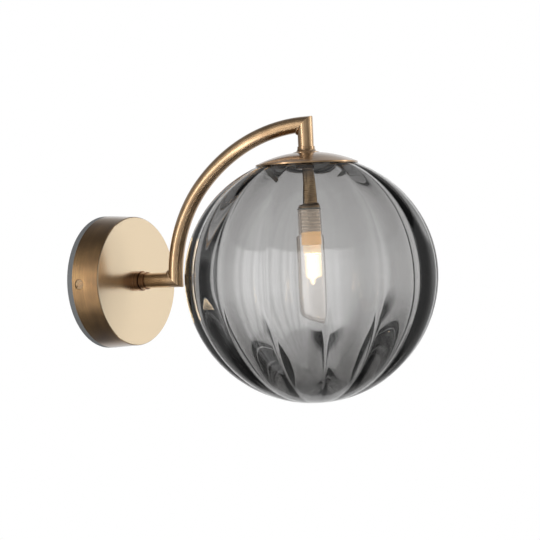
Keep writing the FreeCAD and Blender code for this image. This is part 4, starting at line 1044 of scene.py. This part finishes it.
@dataclass
class Studio:
    """A pale floor, soft lamps, a surround with dark flags for gloss and glass, and the camera."""

    target: tuple[float, float, float]
    distance: float = 1.4
    azimuth: float = -58.8
    elevation: float = 1.1
    roll: float = -2.6
    focal_px: float = 1781.0
    picture: int = 540
    sensor: float = 36.0
    target_px: tuple[float, float] = (311.9, 276.3)  # where the globe's centre lies in the picture
    near: float = 0.05
    lamp_distance: float = 1.3
    floor_height: float = -0.9
    floor_reach: float = 40.0
    floor_fade: tuple[float, float] = (1.2, 3.8)  # from the origin to where it starts to pale, and is white

    def camera_axes(self) -> tuple[np.ndarray, np.ndarray, np.ndarray]:
        """Directions of the camera, from its azimuth, elevation and roll.

        Returns:
            Its right, up and back directions.
        """
        a, e, r = (math.radians(v) for v in (self.azimuth, self.elevation, self.roll))
        back = np.array([math.sin(a) * math.cos(e), -math.cos(a) * math.cos(e), math.sin(e)])
        level = np.array([math.cos(a), math.sin(a), 0.0])
        upright = np.cross(back, level)
        right = level * math.cos(r) + upright * math.sin(r)
        up = upright * math.cos(r) - level * math.sin(r)
        return right, up, back

    def place_camera(self) -> None:
        """Stand the camera where the photograph was taken, its shift bringing the globe to its place."""
        right, up, back = self.camera_axes()
        data = bpy.data.cameras.new("camera")
        data.sensor_width = self.sensor
        data.lens = self.focal_px / self.picture * self.sensor
        data.shift_x = (self.picture / 2 - self.target_px[0]) / self.picture
        data.shift_y = (self.target_px[1] - self.picture / 2) / self.picture
        data.clip_start = self.near
        camera = bpy.data.objects.new("camera", data)
        matrix = np.eye(4)
        matrix[:3, :3] = np.column_stack([right, up, back])
        matrix[:3, 3] = np.array(self.target) + self.distance * back
        camera.matrix_world = Matrix(matrix.tolist())
        bpy.context.scene.collection.objects.link(camera)
        bpy.context.scene.camera = camera

    def light_surround(self) -> None:
        """Light the world: plain to the eye and on matt surfaces, banded for gloss and for glass."""
        world = bpy.data.worlds.new("surround")
        bpy.context.scene.world = world
        world.use_nodes = True
        tree = world.node_tree
        tree.nodes.clear()
        look = add_node(tree, "ShaderNodeTexCoord").outputs["Generated"]
        split = add_node(tree, "ShaderNodeSeparateXYZ", Vector=look).outputs
        bearing = add_node(tree, "ShaderNodeMath", {"operation": "ARCTAN2"}, i0=split["Y"], i1=split["X"])
        around = add_node(tree, "ShaderNodeMapRange", Value=bearing, i1=-math.pi, i2=math.pi)
        height = add_node(tree, "ShaderNodeMapRange", Value=split["Z"], i1=-1.0, i2=1.0)
        gloss, sharp, flagged = (
            self.band(tree, around, stops) for stops in (GLOSS_AROUND, SHARP_AROUND, GLASS_AROUND)
        )
        level = self.band(tree, height, GLASS_LEVEL)
        glass = add_node(tree, "ShaderNodeMix", Factor=level, i2=1.0, i3=flagged)
        kinds = ((gloss, GLOSS_HEIGHT), (sharp, SHARP_HEIGHT), (glass, GLASS_HEIGHT))
        product = {"operation": "MULTIPLY"}
        light, mirrored, through = (
            add_node(tree, "ShaderNodeMath", product, i0=side, i1=self.band(tree, height, stops))
            for side, stops in kinds
        )
        path = add_node(tree, "ShaderNodeLightPath").outputs
        cases = {
            "Is Singular Ray": mirrored, "Is Transmission Ray": through, "Is Diffuse Ray": MATT_LIGHT,
            "Is Camera Ray": WHITE,
        }
        for flag, value in cases.items():
            light = add_node(tree, "ShaderNodeMix", Factor=path[flag], i2=light, i3=value)
        back = add_node(tree, "ShaderNodeBackground", Color=(1, 1, 1, 1), Strength=light)
        add_node(tree, "ShaderNodeOutputWorld", Surface=back)

    @staticmethod
    def band(tree: NodeTree, where: Node, stops: Stops) -> Node:
        """Turn a place into a brightness by a ramp.

        Args:
            tree: the world's node tree.
            where: the place, from 0 to 1.
            stops: place and level of each stop.

        Returns:
            The ramp.
        """
        ramp = add_node(tree, "ShaderNodeValToRGB", Fac=where)
        set_ramp(ramp, [(place, (level, level, level, 1.0)) for place, level in stops], "EASE")
        return ramp

    def add_softbox(
        self, name: str, bearing: float, height: float, size: tuple[float, float], power: float,
    ) -> None:
        """Stand a rectangular lamp at a bearing and height, turned to the globe.

        Args:
            name: the lamp's name.
            bearing: degrees from +X towards +Y.
            height: degrees over the horizon.
            size: width and height.
            power: in watts.
        """
        data = bpy.data.lights.new(name, "AREA")
        data.shape = "RECTANGLE"
        data.size, data.size_y = size
        data.energy = power
        lamp = bpy.data.objects.new(name, data)
        lamp.visible_glossy = False
        lamp.visible_transmission = False
        b, h = math.radians(bearing), math.radians(height)
        away = np.array([math.cos(b) * math.cos(h), math.sin(b) * math.cos(h), math.sin(h)])
        right = np.array([-math.sin(b), math.cos(b), 0.0])
        up = np.cross(away, right)
        matrix = np.eye(4)
        matrix[:3, :3] = np.column_stack([right, up, away])
        matrix[:3, 3] = np.array(self.target) + self.lamp_distance * away
        lamp.matrix_world = Matrix(matrix.tolist())
        bpy.context.scene.collection.objects.link(lamp)

    def lay_floor(self) -> None:
        """Lay a pale matt floor, white far off. Gloss and glass look past it at the surround's lower part."""
        material, tree, place = new_material("pale_floor")
        matt = add_node(tree, "ShaderNodeBsdfDiffuse", Color=linear("#F4F4F2"))
        white = add_node(tree, "ShaderNodeEmission", Color=(1, 1, 1, 1), Strength=WHITE)
        away = add_node(tree, "ShaderNodeVectorMath", {"operation": "LENGTH"}, Vector=place).outputs["Value"]
        pale_from, white_from = self.floor_fade
        far = add_node(tree, "ShaderNodeMapRange", Value=away, i1=pale_from, i2=white_from)
        surround = add_node(tree, "ShaderNodeBsdfTransparent")
        path = add_node(tree, "ShaderNodeLightPath").outputs
        seen = add_node(tree, "ShaderNodeMixShader", i0=far, i1=matt, i2=white)
        gloss = add_node(tree, "ShaderNodeMixShader", i0=path["Is Glossy Ray"], i1=matt, i2=surround)
        mixed = add_node(tree, "ShaderNodeMixShader", i0=path["Is Camera Ray"], i1=gloss, i2=seen)
        end_material(tree, mixed)
        mesh = bpy.data.meshes.new("floor")
        ways = ((-1, -1), (1, -1), (1, 1), (-1, 1))
        corners = [(x * self.floor_reach, y * self.floor_reach, self.floor_height) for x, y in ways]
        mesh.from_pydata(corners, [], [(0, 1, 2, 3)])
        mesh.materials.append(material)
        floor = bpy.data.objects.new("floor", mesh)
        bpy.context.scene.collection.objects.link(floor)

    def build(self) -> None:
        """Set the whole studio up."""
        self.place_camera()
        self.light_surround()
        self.lay_floor()
        self.add_softbox("front_softbox", bearing=-165.0, height=12.0, size=(0.25, 1.0), power=9.0)
        self.add_softbox("side_softbox", bearing=-60.0, height=25.0, size=(0.6, 0.9), power=8.0)
        bpy.context.scene.view_settings.view_transform = "Standard"
        LOG.info("studio: camera at %.1f, %.1f degrees", self.azimuth, self.elevation)


def main() -> None:
    """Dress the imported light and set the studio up."""
    logging.basicConfig(level=logging.INFO, format="%(name)s: %(message)s")
    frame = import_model()
    low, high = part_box("inner_stem")
    drop_out = -(low.y + high.y) / 2
    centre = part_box("globe")[0].z + GlassGlobe.lower
    nodes = frame["nodes"]
    # tube drawn through a die and brushed lengthwise: long fine streaks that follow its bend
    Arm(drop_out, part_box("drop_tube")[0].z).build(AgedBrass("drawn_aged_brass", Lay.DRAWN).build())
    # soda-lime glass smoked in the melt and blown into a ribbed mould: warm grey, darker where it is thicker
    smoked = BlownGlass("smoked_blown_glass", smoke="#908E8C", density=150.0, waver=0.12).build()
    GlassGlobe(drop_out, centre).build(smoked)
    # borosilicate tube and quartz capsule, both clear; their emission is painted light of the filament: a
    # faint and a strong warm veil
    lit_tube = BlownGlass("clear_tube_in_bulb_light", ior=1.47, glow="#FFEFE0", strength=0.06).build()
    lit_capsule = BlownGlass("clear_quartz_in_bulb_light", ior=1.46, glow="#FFE9C4", strength=0.4).build()
    BulbCover(drop_out, centre).build(lit_tube)
    Bulb(drop_out, centre).build(lit_capsule, GlowingWire("glowing_tungsten").build())
    Metalwork(nodes, drop_out).dress()
    Insulators(nodes).dress()
    Studio((0.0, -drop_out, centre)).build()


if __name__ == "__main__":
    main()
